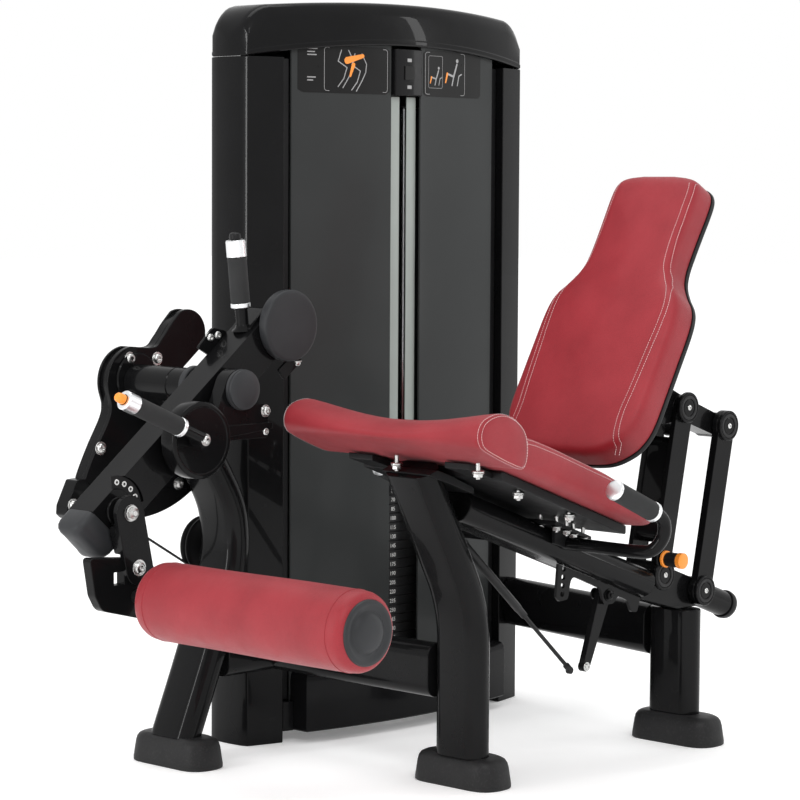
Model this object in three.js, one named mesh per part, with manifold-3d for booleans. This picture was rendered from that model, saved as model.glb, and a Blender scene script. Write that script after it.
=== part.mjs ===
// Selectorised leg extension machine, built as separate pieces in millimetres.
// Working frame while building: origin on the floor at the tower's outer front corner,
// +X along the tower towards its rear column, +Y away from the seat, +Z up.
// The finished group is moved so that its origin is the bottom centre of the whole machine.
import * as THREE from 'three';
import { mergeVertices } from 'three/addons/utils/BufferGeometryUtils.js';
import Module from 'manifold-3d';

const wasm = await Module();
wasm.setup();

// ---- driving dimensions -------------------------------------------------------------------
const GAP = 0.3; // clearance between pieces that touch

// tower
const TOWER_WIDTH = 795;
const TOWER_DEPTH = 105; // depth of a column at its outer end
const TOWER_BOW = 58; // how far the front and rear bulge at the centre
const COLUMN_WIDTH = 79;
const COLUMN_TOP = 1354;
const CAP_TOP = 1470;
const PANEL_EDGE = 105; // outer edge of a front panel
const PANEL_INNER = 355; // edge of a front panel at the central slot
const MID_X = TOWER_WIDTH / 2;
const CABLE_Y = 50; // plane of the cable, the pulleys and the weight stack

// weight stack
const PLATE_PITCH = 19.05;
const PLATE_COUNT = 20;
const STACK_TOP = 547;
const PLATE_WIDTH = 290;
const PLATE_DEPTH = 126;
const LIFTED_COUNT = 4; // plates above and at the selector pin, with the top plate
const ROD_SPACING = 181;
const ROD_RADIUS = 9.5;
const STEM_RADIUS = 11;
const CABLE_RADIUS = 2.5;

// frame tubes
const TUBE_WIDE = 112;
const TUBE_THICK = 56;
const SEAT_Y = -542; // plane of the user's centre line
const FOOT_HEIGHT = 58;
const BEAM_SLOPE = 19.9; // degrees that the seat and its beam fall towards the rear

// movement arm
const AXIS_X = -260;
const AXIS_Z = 732;
const ARM_ANGLE = 38.5; // degrees of the arm above the horizontal
const ARM_NEAR = -220;
const ARM_FAR = -154;
const ARM_HEIGHT = 78;
const ARM_OFFSET = -2.5; // the beam's centre line passes this far below the axis
const CAM_RADIUS = 236; // floor of the cam's groove
const CAM_NEAR = 32;
const CAM_FAR = 64;
const SHAFT_RADIUS = 16;

// roller
const LINK_PIVOT = [-519, 526];
const ROLLER_CENTRE = [-500, 375];
const ROLLER_RADIUS = 69.5;
const ROLLER_NEAR = -828;
const ROLLER_FAR = -316;

// back rest four bar linkage
const LINK_VECTOR = [69, 326];
const PIVOT_FRONT = [573, 345];
const PIVOT_REAR = [699, 302];
const PIN_RADIUS = 8;
const BACK_ANGLE = 29.6; // degrees that the back pad leans from vertical
const BACK_FOOT = [287, 598]; // lowest point of the pad's front face
const GRIP_OFFSET = 293; // side grips either side of the centre line

// lower adjuster
const LEVER_PIVOT = [425, 318];
const SPRING_TOP = [52, 446];
const SPRING_EYE = [356, 176];

const rad = THREE.MathUtils.degToRad;

// ---- materials ----------------------------------------------------------------------------
function material(color, roughness, metalness, opacity = 1) {
  return new THREE.MeshStandardMaterial({ color, roughness, metalness, opacity, transparent: opacity < 1 });
}
const paint = material(0x0b0b0c, 0.22, 0.35);
const charcoal = material(0x2b2c2d, 0.5, 0.0);
const smoked = material(0x23282a, 0.15, 0.0, 0.55);
const chrome = material(0xc9cbcc, 0.12, 1.0);
const darkSteel = material(0x1c1c1d, 0.45, 0.6);
const leather = material(0xa5202c, 0.55, 0.0);
const rubber = material(0x1a1a1b, 0.8, 0.0);
const aluminium = material(0xb9bbbd, 0.35, 0.9);
const orange = material(0xf08a24, 0.4, 0.0);
const cableBlack = material(0x101010, 0.5, 0.0);

// ---- shape helpers ------------------------------------------------------------------------
function outline(points) {
  return new THREE.Shape(points.map(([a, b]) => new THREE.Vector2(a, b)));
}

function circle(cx, cy, r) {
  const shape = new THREE.Shape();
  shape.absarc(cx, cy, r, 0, Math.PI * 2);
  return shape;
}

// flat oval section, long side along the first axis
function oval(width, thick) {
  const r = thick / 2;
  const flat = width / 2 - r;
  const shape = new THREE.Shape();
  shape.absarc(flat, 0, r, -Math.PI / 2, Math.PI / 2);
  shape.absarc(-flat, 0, r, Math.PI / 2, Math.PI * 1.5);
  return shape;
}

function roundedBox(x0, y0, x1, y1, r) {
  const shape = new THREE.Shape();
  shape.absarc(x1 - r, y0 + r, r, -Math.PI / 2, 0);
  shape.absarc(x1 - r, y1 - r, r, 0, Math.PI / 2);
  shape.absarc(x0 + r, y1 - r, r, Math.PI / 2, Math.PI);
  shape.absarc(x0 + r, y0 + r, r, Math.PI, Math.PI * 1.5);
  return shape;
}

// bar with round ends between two points
function stadium([ax, ay], [bx, by], ra, rb = ra) {
  const angle = Math.atan2(by - ay, bx - ax);
  const shape = new THREE.Shape();
  shape.absarc(bx, by, rb, angle - Math.PI / 2, angle + Math.PI / 2);
  shape.absarc(ax, ay, ra, angle + Math.PI / 2, angle + Math.PI * 1.5);
  return shape;
}

function extrude(shape, depth, curveSegments = 6) {
  return new THREE.ExtrudeGeometry(shape, { depth, bevelEnabled: false, curveSegments });
}

// shape drawn in X and Y, standing from z0 to z1
function plateXY(shape, z0, z1, segments) {
  return extrude(shape, z1 - z0, segments).translate(0, 0, z0);
}

// shape drawn in X and Z, reaching from y0 to y1
function plateXZ(shape, y0, y1, segments) {
  return extrude(shape, y1 - y0, segments).rotateX(Math.PI / 2).translate(0, y1, 0);
}

function box(x0, y0, z0, x1, y1, z1) {
  const geometry = new THREE.BoxGeometry(x1 - x0, y1 - y0, z1 - z0);
  return geometry.translate((x0 + x1) / 2, (y0 + y1) / 2, (z0 + z1) / 2);
}

function rodY(x, z, r, y0, y1, segments = 24) {
  return new THREE.CylinderGeometry(r, r, y1 - y0, segments).translate(x, (y0 + y1) / 2, z);
}

function rodZ(x, y, r, z0, z1, segments = 24) {
  const geometry = new THREE.CylinderGeometry(r, r, z1 - z0, segments).rotateX(Math.PI / 2);
  return geometry.translate(x, y, (z0 + z1) / 2);
}

// round bar between two points in space
function rodBetween(a, b, r, segments = 20, rEnd = r) {
  const from = new THREE.Vector3(...a);
  const to = new THREE.Vector3(...b);
  const along = to.clone().sub(from);
  const turn = new THREE.Quaternion().setFromUnitVectors(new THREE.Vector3(0, 1, 0), along.clone().normalize());
  const geometry = new THREE.CylinderGeometry(rEnd, r, along.length(), segments);
  return geometry.applyQuaternion(turn).translate(...from.add(to).multiplyScalar(0.5).toArray());
}

// path of straight lines whose inner corners are rounded
function filletPath(points, radius) {
  const knots = points.map((p) => new THREE.Vector3(...p));
  const path = new THREE.CurvePath();
  let last = knots[0];
  for (let i = 1; i < knots.length - 1; i += 1) {
    const before = knots[i].clone().add(knots[i - 1].clone().sub(knots[i]).setLength(radius));
    const after = knots[i].clone().add(knots[i + 1].clone().sub(knots[i]).setLength(radius));
    path.add(new THREE.LineCurve3(last, before));
    path.add(new THREE.QuadraticBezierCurve3(before, knots[i], after));
    last = after;
  }
  path.add(new THREE.LineCurve3(last, knots[knots.length - 1]));
  return path;
}

function sweep(section, path, steps, curveSegments = 4) {
  return new THREE.ExtrudeGeometry(section, { steps, bevelEnabled: false, extrudePath: path, curveSegments });
}

// straight tube of a section between two points
function tube(section, a, b, curveSegments = 5) {
  return sweep(section, new THREE.LineCurve3(new THREE.Vector3(...a), new THREE.Vector3(...b)), 1, curveSegments);
}

// ---- joining and cutting ------------------------------------------------------------------
function solid(geometry) {
  const bare = geometry.index ? geometry.toNonIndexed() : geometry.clone();
  bare.deleteAttribute('normal');
  bare.deleteAttribute('uv');
  const merged = mergeVertices(bare, 1e-3);
  const vertProperties = new Float32Array(merged.attributes.position.array);
  const triVerts = new Uint32Array(merged.index.array);
  return new wasm.Manifold(new wasm.Mesh({ numProp: 3, vertProperties, triVerts }));
}

function geometryOf(manifold) {
  const { vertProperties, triVerts } = manifold.getMesh();
  const geometry = new THREE.BufferGeometry();
  geometry.setAttribute('position', new THREE.BufferAttribute(vertProperties, 3));
  geometry.setIndex(new THREE.BufferAttribute(triVerts, 1));
  return geometry;
}

function join(...geometries) {
  return geometryOf(geometries.map(solid).reduce((a, b) => a.add(b)));
}

function cut(body, ...tools) {
  return geometryOf(tools.map(solid).reduce((a, b) => a.subtract(b), solid(body)));
}

function intersect(a, b) {
  return geometryOf(solid(a).intersect(solid(b)));
}

const machine = new THREE.Group();
function piece(name, geometry, look) {
  const mesh = new THREE.Mesh(geometry, look);
  mesh.name = name;
  machine.add(mesh);
}

// ---- tower --------------------------------------------------------------------------------
const BOW_RADIUS = (MID_X ** 2 + TOWER_BOW ** 2) / (2 * TOWER_BOW);

// front face of the tower at x; the rear face mirrors it
function bow(x) {
  return -(Math.sqrt(BOW_RADIUS ** 2 - (x - MID_X) ** 2) - (BOW_RADIUS - TOWER_BOW));
}

function arcPoints(x0, x1, inset, steps) {
  const points = [];
  for (let i = 0; i <= steps; i += 1) {
    const x = x0 + ((x1 - x0) * i) / steps;
    points.push([x, bow(x) + inset]);
  }
  return points;
}

const toRear = ([x, y]) => [x, TOWER_DEPTH - y];

// strip that follows the front bow between two insets
function bowStrip(x0, x1, near, far, steps = 8) {
  return outline([...arcPoints(x0, x1, near, steps), ...arcPoints(x1, x0, far, steps)]);
}

function rearStrip(x0, x1, near, far, steps = 8) {
  return outline([...arcPoints(x0, x1, far, steps).map(toRear), ...arcPoints(x1, x0, near, steps).map(toRear)]);
}

const mirrorX = (points) => points.map(([x, y]) => [TOWER_WIDTH - x, y]);

function columnPlan() {
  const rear = arcPoints(COLUMN_WIDTH, 0, 0, 3).map(toRear);
  return [...arcPoints(0, COLUMN_WIDTH, 0, 3), ...rear, [-4, 82], [-6, 52], [-4, 23]];
}

const CABLE_LOW = 350; // height of the cable where it crosses the column
const column = plateXY(outline(columnPlan()), 0, COLUMN_TOP);
const channel = box(34, 22, -1, COLUMN_WIDTH + 1, 83, COLUMN_TOP + 1);
const cableSlot = box(-20, CABLE_Y - 9, CABLE_LOW - 14, 60, CABLE_Y + 9, CABLE_LOW + 14);
piece('left_column', cut(column, channel, cableSlot), paint);
const rightColumn = plateXY(outline(mirrorX(columnPlan())), 0, COLUMN_TOP);
const rightChannel = box(TOWER_WIDTH - COLUMN_WIDTH - 1, 22, -1, TOWER_WIDTH - 34, 83, COLUMN_TOP + 1);
piece('right_column', cut(rightColumn, rightChannel), paint);

// the cap's lower and upper edges both arch towards the centre
const CAP_WALL = 8;
const CAP_CORNER = 70;
function capSilhouette(inset, base) {
  const points = [];
  const left = -6 + inset;
  const right = TOWER_WIDTH + 6 - inset;
  const arch = (x) => 1 - ((x - MID_X) / MID_X) ** 2;
  const top = (x) => CAP_TOP - 19 - inset + 19 * arch(x);
  for (let i = 0; i <= 10; i += 1) {
    const x = left + ((right - left) * i) / 10;
    points.push([x, base + (base > COLUMN_TOP ? 31 * Math.max(arch(x), 0) : 0)]);
  }
  const corner = CAP_CORNER - inset;
  for (let i = 0; i <= 5; i += 1) {
    const a = rad(i * 18);
    points.push([right - corner + corner * Math.cos(a), top(right - corner) - corner + corner * Math.sin(a)]);
  }
  for (let i = 1; i < 6; i += 1) {
    const x = right - corner + ((left - right + 2 * corner) * i) / 6;
    points.push([x, top(x)]);
  }
  for (let i = 0; i <= 5; i += 1) {
    const a = rad(90 + i * 18);
    points.push([left + corner + corner * Math.cos(a), top(left + corner) - corner + corner * Math.sin(a)]);
  }
  return outline(points);
}

function capPlan(inset) {
  const front = arcPoints(inset, TOWER_WIDTH - inset, inset, 12);
  const rear = arcPoints(TOWER_WIDTH - inset, inset, inset, 12).map(toRear);
  const rightSide = [[TOWER_WIDTH + 6 - inset, 52]];
  return outline([...front, ...rightSide, ...rear, [-6 + inset, 52]]);
}

const capOuter = intersect(
  plateXZ(capSilhouette(0, COLUMN_TOP + GAP), -80, 190),
  plateXY(capPlan(0), 1300, 1500),
);
const capPocket = intersect(
  plateXZ(capSilhouette(CAP_WALL, COLUMN_TOP - 20), -80, 190),
  plateXY(capPlan(CAP_WALL), 1300, 1500),
);
piece('top_cap', cut(capOuter, capPocket), paint);

const PANEL_NEAR = 14;
const PANEL_FAR = 19;
const PANEL_BOTTOM = 30;
const PANEL_TOP = 1395;
const leftPanel = bowStrip(PANEL_EDGE, PANEL_INNER, PANEL_NEAR, PANEL_FAR);
piece('front_panel_left', plateXY(leftPanel, PANEL_BOTTOM, PANEL_TOP), smoked);
const rightPanel = bowStrip(TOWER_WIDTH - PANEL_INNER, TOWER_WIDTH - PANEL_EDGE, PANEL_NEAR, PANEL_FAR);
piece('front_panel_right', plateXY(rightPanel, PANEL_BOTTOM, PANEL_TOP), smoked);
const rearPanel = rearStrip(85, TOWER_WIDTH - 85, PANEL_NEAR, PANEL_FAR, 10);
piece('rear_panel', plateXY(rearPanel, PANEL_BOTTOM, PANEL_TOP), smoked);
const counter = bowStrip(PANEL_INNER + 3, TOWER_WIDTH - PANEL_INNER - 3, 6, 26, 3);
piece('rep_counter', plateXY(counter, 1286, 1380), charcoal);
piece('base_cover', plateXY(bowStrip(PANEL_EDGE, TOWER_WIDTH - PANEL_EDGE, -34, 13.5, 10), 22, 142), charcoal);

// ---- weight stack and its guides ----------------------------------------------------------
const RODS = [MID_X - ROD_SPACING / 2, MID_X + ROD_SPACING / 2];
const CROSS_LOW = 1266;
const CROSS_HIGH = 1290;
const PULLEY_AXIS_HIGH = 1345;
const PULLEY_GROOVE = 45; // radius at which the cable lies
const RISE_X = 185; // the cable rises here
const HIGH_PULLEYS = [RISE_X + PULLEY_GROOVE, MID_X - PULLEY_GROOVE];
const LOW_PULLEY = [RISE_X - PULLEY_GROOVE, CABLE_LOW + PULLEY_GROOVE];
const KNEE_GROOVE = 52;
const KNEE_PULLEY = [-66, CABLE_LOW + KNEE_GROOVE];
const PULLEY_HALF = 9;
const SLEEVE_TOP = 165;
const BASE_TOP = 80;

// two ears with an axle that carries a pulley
function pulleyFork(outlineXZ, [x, z]) {
  const nearEar = plateXZ(outlineXZ, CABLE_Y - 17, CABLE_Y - 12);
  const farEar = plateXZ(outlineXZ, CABLE_Y + 12, CABLE_Y + 17);
  return [nearEar, farEar, rodY(x, z, 6, CABLE_Y - 14, CABLE_Y + 14, 16)];
}

const crossBody = box(COLUMN_WIDTH + GAP, 14, CROSS_LOW, TOWER_WIDTH - COLUMN_WIDTH - GAP, 90, CROSS_HIGH);
const highForks = HIGH_PULLEYS.flatMap((x) => {
  const ear = outline([[x - 28, CROSS_HIGH - 4], [x + 28, CROSS_HIGH - 4], [x + 13, 1360], [x - 13, 1360]]);
  return pulleyFork(ear, [x, PULLEY_AXIS_HIGH]);
});
const cableHoles = [RISE_X, MID_X].map((x) => rodZ(x, CABLE_Y, 7, CROSS_LOW - 5, CROSS_HIGH + 5, 12));
piece('top_crossmember', cut(join(crossBody, ...highForks), ...cableHoles), darkSteel);

const baseBody = box(COLUMN_WIDTH + GAP, 5, 25, TOWER_WIDTH - COLUMN_WIDTH - GAP, 100, BASE_TOP);
const lowEar = outline([[112, 76], [168, 76], [156, 408], [124, 408]]);
const sleeves = RODS.map((x) => rodZ(x, CABLE_Y, 22, BASE_TOP - 4, SLEEVE_TOP, 20));
const sleeveBores = RODS.map((x) => rodZ(x, CABLE_Y, ROD_RADIUS + 0.6, BASE_TOP, SLEEVE_TOP + 5, 20));
const baseFrame = join(baseBody, ...pulleyFork(lowEar, LOW_PULLEY), ...sleeves);
piece('base_frame', cut(baseFrame, ...sleeveBores), darkSteel);
['guide_rod_left', 'guide_rod_right'].forEach((name, i) => {
  piece(name, rodZ(RODS[i], CABLE_Y, ROD_RADIUS, BASE_TOP + GAP, CROSS_LOW - GAP, 20), chrome);
});

function grooveProfile(outer, groove) {
  const floor = groove - CABLE_RADIUS - 2;
  return [[6.4, -PULLEY_HALF], [outer, -PULLEY_HALF], [outer, -6], [floor, -2.2],
    [floor, 2.2], [outer, 6], [outer, PULLEY_HALF], [6.4, PULLEY_HALF], [6.4, -PULLEY_HALF]]
    .map(([r, y]) => new THREE.Vector2(r, y));
}

function pulley([x, z], outer, groove) {
  return new THREE.LatheGeometry(grooveProfile(outer, groove), 24).translate(x, CABLE_Y, z);
}
piece('knee_pulley', pulley(KNEE_PULLEY, 57, KNEE_GROOVE), charcoal);
piece('lower_pulley', pulley(LOW_PULLEY, 50, PULLEY_GROOVE), charcoal);
piece('upper_pulley_front', pulley([HIGH_PULLEYS[0], PULLEY_AXIS_HIGH], 50, PULLEY_GROOVE), charcoal);
piece('upper_pulley_rear', pulley([HIGH_PULLEYS[1], PULLEY_AXIS_HIGH], 50, PULLEY_GROOVE), charcoal);

const STACK_X = [MID_X - PLATE_WIDTH / 2, MID_X + PLATE_WIDTH / 2];
const STACK_Y = [CABLE_Y - PLATE_DEPTH / 2, CABLE_Y + PLATE_DEPTH / 2];
function plateBlock(z0, z1) {
  const section = roundedBox(STACK_X[0], STACK_Y[0], STACK_X[1], STACK_Y[1], 6);
  const guides = RODS.map((x) => rodZ(x, CABLE_Y, ROD_RADIUS + 3, z0 - 5, z1 + 5, 16));
  return cut(plateXY(section, z0, z1, 3), ...guides, rodZ(MID_X, CABLE_Y, STEM_RADIUS + 1.5, z0 - 5, z1 + 5, 16));
}

const LIFTED_LOW = STACK_TOP - LIFTED_COUNT * PLATE_PITCH;
const STACK_LOW = STACK_TOP - PLATE_COUNT * PLATE_PITCH;
const PIN_Z = LIFTED_LOW + PLATE_PITCH / 2;
const PIN_TIP_Y = CABLE_Y - 5;
const pinBore = rodY(MID_X, PIN_Z, 5.4, STACK_Y[0] - 5, CABLE_Y - 4.5, 16);
const topPlate = plateXY(
  roundedBox(STACK_X[0], STACK_Y[0], STACK_X[1], STACK_Y[1], 6), STACK_TOP - PLATE_PITCH + GAP, STACK_TOP, 3,
);
const head = box(MID_X - 46, CABLE_Y - 30, STACK_TOP - 4, MID_X + 46, CABLE_Y + 30, 629);
const guideSleeves = RODS.map((x) => rodZ(x, CABLE_Y, 19, STACK_TOP - 4, 600, 20));
const guideBores = RODS.map((x) => rodZ(x, CABLE_Y, ROD_RADIUS + 0.6, 500, 640, 20));
const stem = rodZ(MID_X, CABLE_Y, STEM_RADIUS, STACK_LOW + 12, STACK_TOP, 20);
const cableBore = rodZ(MID_X, CABLE_Y, 4.2, STACK_LOW + 20, 640, 12);
piece('top_plate', cut(join(topPlate, head, ...guideSleeves, stem), ...guideBores, cableBore, pinBore), darkSteel);
piece('lifted_plates', cut(plateBlock(LIFTED_LOW, STACK_TOP - PLATE_PITCH), pinBore), darkSteel);
piece('resting_plates', plateBlock(STACK_LOW, LIFTED_LOW - GAP), darkSteel);
const pinShank = rodY(MID_X, PIN_Z, 4.75, STACK_Y[0] - 12, PIN_TIP_Y, 16);
const pinKnob = rodY(MID_X, PIN_Z, 14, STACK_Y[0] - 48, STACK_Y[0] - 8, 20);
piece('selector_pin', join(pinShank, pinKnob), charcoal);

// ---- drive cable --------------------------------------------------------------------------
// It leaves the cam at a tangent, turns under the knee pulley and the lower pulley,
// rises inside the tower, crosses both upper pulleys and drops into the top plate.
const TANGENT_ANGLE = rad(240);
const camTangent = [
  AXIS_X + (CAM_RADIUS + 4) * Math.cos(TANGENT_ANGLE),
  AXIS_Z + (CAM_RADIUS + 4) * Math.sin(TANGENT_ANGLE),
];

function wrap([x, z], r, from, to) {
  const points = [];
  for (let i = 0; i <= 5; i += 1) {
    const a = rad(from + ((to - from) * i) / 5);
    points.push([x + r * Math.cos(a), z + r * Math.sin(a)]);
  }
  return points;
}

const cableRoute = [
  camTangent,
  ...wrap(KNEE_PULLEY, KNEE_GROOVE, 241, 270),
  ...wrap(LOW_PULLEY, PULLEY_GROOVE, 270, 360),
  ...wrap([HIGH_PULLEYS[0], PULLEY_AXIS_HIGH], PULLEY_GROOVE, 180, 90),
  ...wrap([HIGH_PULLEYS[1], PULLEY_AXIS_HIGH], PULLEY_GROOVE, 90, 0),
  [MID_X, 612],
];

// curve that visits its points in turn, one step each
class Route extends THREE.Curve {
  constructor(points) {
    super();
    this.points = points.map(([x, z]) => new THREE.Vector3(x, CABLE_Y, z));
  }

  getPoint(t) {
    const place = Math.min(Math.max(t, 0), 1) * (this.points.length - 1);
    const index = Math.min(Math.floor(place), this.points.length - 2);
    return this.points[index].clone().lerp(this.points[index + 1], place - index);
  }

  getPointAt(u) {
    return this.getPoint(u);
  }

  getTangentAt(u) {
    return this.getTangent(u);
  }
}
const cablePath = new Route(cableRoute);
const cable = sweep(circle(0, 0, CABLE_RADIUS), cablePath, cableRoute.length - 1, 3);
piece('drive_cable', cable, cableBlack);

// ---- floor frame --------------------------------------------------------------------------
const section = () => oval(TUBE_WIDE, TUBE_THICK);
const crossSection = () => oval(102, 52);

function foot(name, x, y) {
  const half = 100;
  const side = 46;
  const shape = oval(half * 2, side * 2);
  const geometry = extrude(shape, FOOT_HEIGHT, 7).rotateZ(Math.PI / 2);
  const position = geometry.attributes.position;
  for (let i = 0; i < position.count; i += 1) {
    if (position.getZ(i) > FOOT_HEIGHT / 2) {
      position.setX(i, position.getX(i) * 0.87);
      position.setY(i, position.getY(i) * 0.93);
    }
  }
  piece(name, geometry.translate(x, y, 0), rubber);
}
foot('foot_front', 53, -531);
foot('foot_rear', 663, -553);
foot('foot_side', -202.5, -25);

const legBase = FOOT_HEIGHT + GAP;
const frontLegPath = filletPath([[40, SEAT_Y, legBase], [40, SEAT_Y, 330], [-100, SEAT_Y, 596]], 70);
piece('front_leg', sweep(section(), frontLegPath, 10), paint);
piece('rear_leg', tube(section(), [665, SEAT_Y, legBase], [665, SEAT_Y, 268]), paint);

const beamAt = (x) => 548.2 - (x + 70) * Math.tan(rad(BEAM_SLOPE));
piece('seat_beam', tube(section(), [-4, SEAT_Y, beamAt(-4)], [530, SEAT_Y, beamAt(530)]), paint);

const SIDE_LEG_Y = -25;
const sideLegPath = new THREE.CatmullRomCurve3([[-226, 15], [-205, 62], [-139, 220], [-88, 360], [-86, 470],
  [-130, 560], [-190, 640], [AXIS_X + 4, AXIS_Z - 8]].map(([x, z]) => new THREE.Vector3(x, SIDE_LEG_Y, z)));
const sideLeg = cut(sweep(section(), sideLegPath, 14), box(-400, -200, -50, 0, 100, legBase));
const bearing = rodY(AXIS_X, AXIS_Z, 33, ARM_FAR + 4, CAM_NEAR - 4, 28);
const kneeAxle = rodY(KNEE_PULLEY[0], KNEE_PULLEY[1], 6, 20, CABLE_Y + 13, 16);
const kneeShoulder = rodY(KNEE_PULLEY[0], KNEE_PULLEY[1], 14, 20, CABLE_Y - PULLEY_HALF - 1.5, 16);
const bearingBore = rodY(AXIS_X, AXIS_Z, SHAFT_RADIUS + 0.5, -200, 60, 28);
piece('side_leg', cut(join(sideLeg, bearing, kneeAxle, kneeShoulder), bearingBore), paint);

const columnFront = plateXY(bowStrip(-10, 90, -0.6, 60, 4), 0, 400);
const crossTube = tube(crossSection(), [30, SEAT_Y + TUBE_WIDE / 2 + GAP, 209], [30, 5, 209]);
const crossBeam = cut(crossTube, columnFront);
const stub = tube(crossSection(), [-113, SIDE_LEG_Y - 20, 209], [28, SIDE_LEG_Y - 20, 209]);
piece('front_crossbeam', cut(join(crossBeam, stub), sweep(oval(TUBE_WIDE + 1, TUBE_THICK + 1), sideLegPath, 14)), paint);
const rearCrossTube = tube(crossSection(), [672, SEAT_Y + TUBE_WIDE / 2 + 6, 215], [757, 8, 215]);
piece('rear_crossbeam', cut(rearCrossTube, plateXY(bowStrip(700, 795, -0.6, 60, 4), 0, 400)), paint);

// bracket at the rear end of the seat beam, with the hubs of both back links and a tube stub
const MID_HALF = 24;
const MID_Y = [SEAT_Y - MID_HALF, SEAT_Y + MID_HALF];
const bracketPlate = plateXZ(outline([[524, 300], [542, 352], [568, 362], [690, 322], [716, 310], [716, 270],
  [704, 268 + GAP], [640, 268 + GAP], [600, 280]]), ...MID_Y);
const hubs = [PIVOT_FRONT, PIVOT_REAR].map(([x, z]) => rodY(x, z, 22, ...MID_Y));
const hubBores = [PIVOT_FRONT, PIVOT_REAR].map(([x, z]) => rodY(x, z, PIN_RADIUS + 0.4, -600, -480, 20));
const rearTube = rodBetween([712, SEAT_Y, 297], [833, SEAT_Y, 253], 26, 28);
piece('rear_bracket', cut(join(bracketPlate, ...hubs, rearTube), ...hubBores), paint);

// ---- seat ---------------------------------------------------------------------------------
const seatDrop = (x) => -(x + 186) * Math.tan(rad(BEAM_SLOPE));
const bolsterOutline = outline([[-178, 650], [-190, 668], [-184, 692], [-160, 709], [-125, 712], [-90, 700],
  [-60, 672], [-62, 650 + seatDrop(-62)]]);
const cushionOutline = outline([[-120, 652 + seatDrop(-120)], [-110, 690], [-60, 668], [60, 646], [200, 592],
  [322, 528], [336, 506], [330, 478], [310, 652 + seatDrop(310)]]);
const BOLSTER_HALF = 243;
const CUSHION_HALF = 215;
const bolster = plateXZ(bolsterOutline, SEAT_Y - BOLSTER_HALF, SEAT_Y + BOLSTER_HALF);
const cushion = plateXZ(cushionOutline, SEAT_Y - CUSHION_HALF, SEAT_Y + CUSHION_HALF);
piece('seat_pad', join(bolster, cushion), leather);

const panTop = (x) => 651.5 + seatDrop(x) - GAP;
const panOutline = outline([[-52, panTop(-52)], [-52, panTop(-52) - 18], [300, panTop(300) - 18], [300, panTop(300)]]);
piece('seat_pan', plateXZ(panOutline, SEAT_Y - 175, SEAT_Y + 175), charcoal);

function sideGrip(side, name) {
  const y = (offset) => SEAT_Y + side * offset;
  const grip = [[113, y(GRIP_OFFSET), 567], [230, y(GRIP_OFFSET), 516]];
  const route = [grip[1], [243, y(GRIP_OFFSET), 510.3], [260, y(GRIP_OFFSET - 1), 494], [264, y(GRIP_OFFSET - 6), 468],
    [258, y(GRIP_OFFSET - 24), 444],
    [255, y(GRIP_OFFSET - 60), 437], [255, y(TUBE_WIDE / 2 + 40), 437], [255, y(TUBE_WIDE / 2 + 1), 437]];
  const stemPath = new THREE.CatmullRomCurve3(route.map((p) => new THREE.Vector3(...p)), false, 'centripetal');
  piece(`handle_stem_${name}`, sweep(circle(0, 0, 12.5), stemPath, 18, 6), paint);
  const start = new THREE.Vector3(...grip[0]);
  const end = new THREE.Vector3(...grip[1]);
  const shorter = start.clone().lerp(end, 0.996).toArray();
  piece(`grip_${name}`, rodBetween(grip[0], shorter, 18.5, 24), rubber);
}
sideGrip(-1, 'near');
sideGrip(1, 'far');

// ---- movement arm -------------------------------------------------------------------------
const armCos = Math.cos(rad(ARM_ANGLE));
const armSin = Math.sin(rad(ARM_ANGLE));
// point in the arm's own plane: along the arm (positive up to the counterweight) and across it
function armPoint(along, across) {
  const rise = across + ARM_OFFSET;
  return [AXIS_X + along * armCos - rise * armSin, AXIS_Z + along * armSin + rise * armCos];
}
const ARM_LOW = -372;
const ARM_HIGH = 186;
const HALF = ARM_HEIGHT / 2;
const armOutline = outline([armPoint(ARM_LOW, -HALF), armPoint(ARM_HIGH, -HALF), armPoint(ARM_HIGH + 18, -HALF + 20),
  armPoint(ARM_HIGH + 18, HALF - 20), armPoint(ARM_HIGH, HALF), armPoint(ARM_LOW, HALF)]);
const armBody = plateXZ(armOutline, ARM_NEAR, ARM_FAR);
const armBore = rodY(AXIS_X, AXIS_Z, SHAFT_RADIUS + 0.5, -300, -100, 28);
const linkPin = rodY(LINK_PIVOT[0], LINK_PIVOT[1], 8, ARM_NEAR - 42, ARM_NEAR + 6, 20);
const linkBoss = rodY(LINK_PIVOT[0], LINK_PIVOT[1], 26, ARM_NEAR - 7, ARM_NEAR + 4, 24);
piece('arm_beam', cut(join(armBody, linkPin, linkBoss), armBore), paint);

const capLength = 40;
const endCap = outline([armPoint(ARM_LOW - GAP, -HALF - 12), armPoint(ARM_LOW - GAP, HALF + 3),
  armPoint(ARM_LOW - capLength, HALF + 3), armPoint(ARM_LOW - capLength - 14, HALF - 12),
  armPoint(ARM_LOW - capLength - 16, 4), armPoint(ARM_LOW - capLength - 6, -HALF + 6),
  armPoint(ARM_LOW - capLength + 10, -HALF - 12)]);
piece('beam_end_cap', plateXZ(endCap, ARM_NEAR - 2, ARM_FAR + 2), charcoal);
piece('counterweight', rodY(-110, 843, 67, ARM_NEAR - 22, ARM_NEAR - 1, 48), charcoal);

const ARM_MID = (ARM_NEAR + ARM_FAR) / 2;
const uprightBase = [-186, ARM_MID, 846];
const uprightTop = [-204, ARM_MID, 1003];
const lerp = (a, b, t) => a.map((v, i) => v + (b[i] - v) * t);
piece('upright_handle', cut(join(rodBetween(uprightBase, uprightTop, 11, 16),
  rodBetween(lerp(uprightBase, uprightTop, 0.2), uprightTop, 15, 20)),
rodBetween(lerp(uprightBase, uprightTop, 0.93), lerp(uprightBase, uprightTop, 1.02), 11.3, 20)), rubber);
piece('upright_button', rodBetween(lerp(uprightBase, uprightTop, 1.004), lerp(uprightBase, uprightTop, 1.105), 10.5, 20),
  charcoal);

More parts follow.
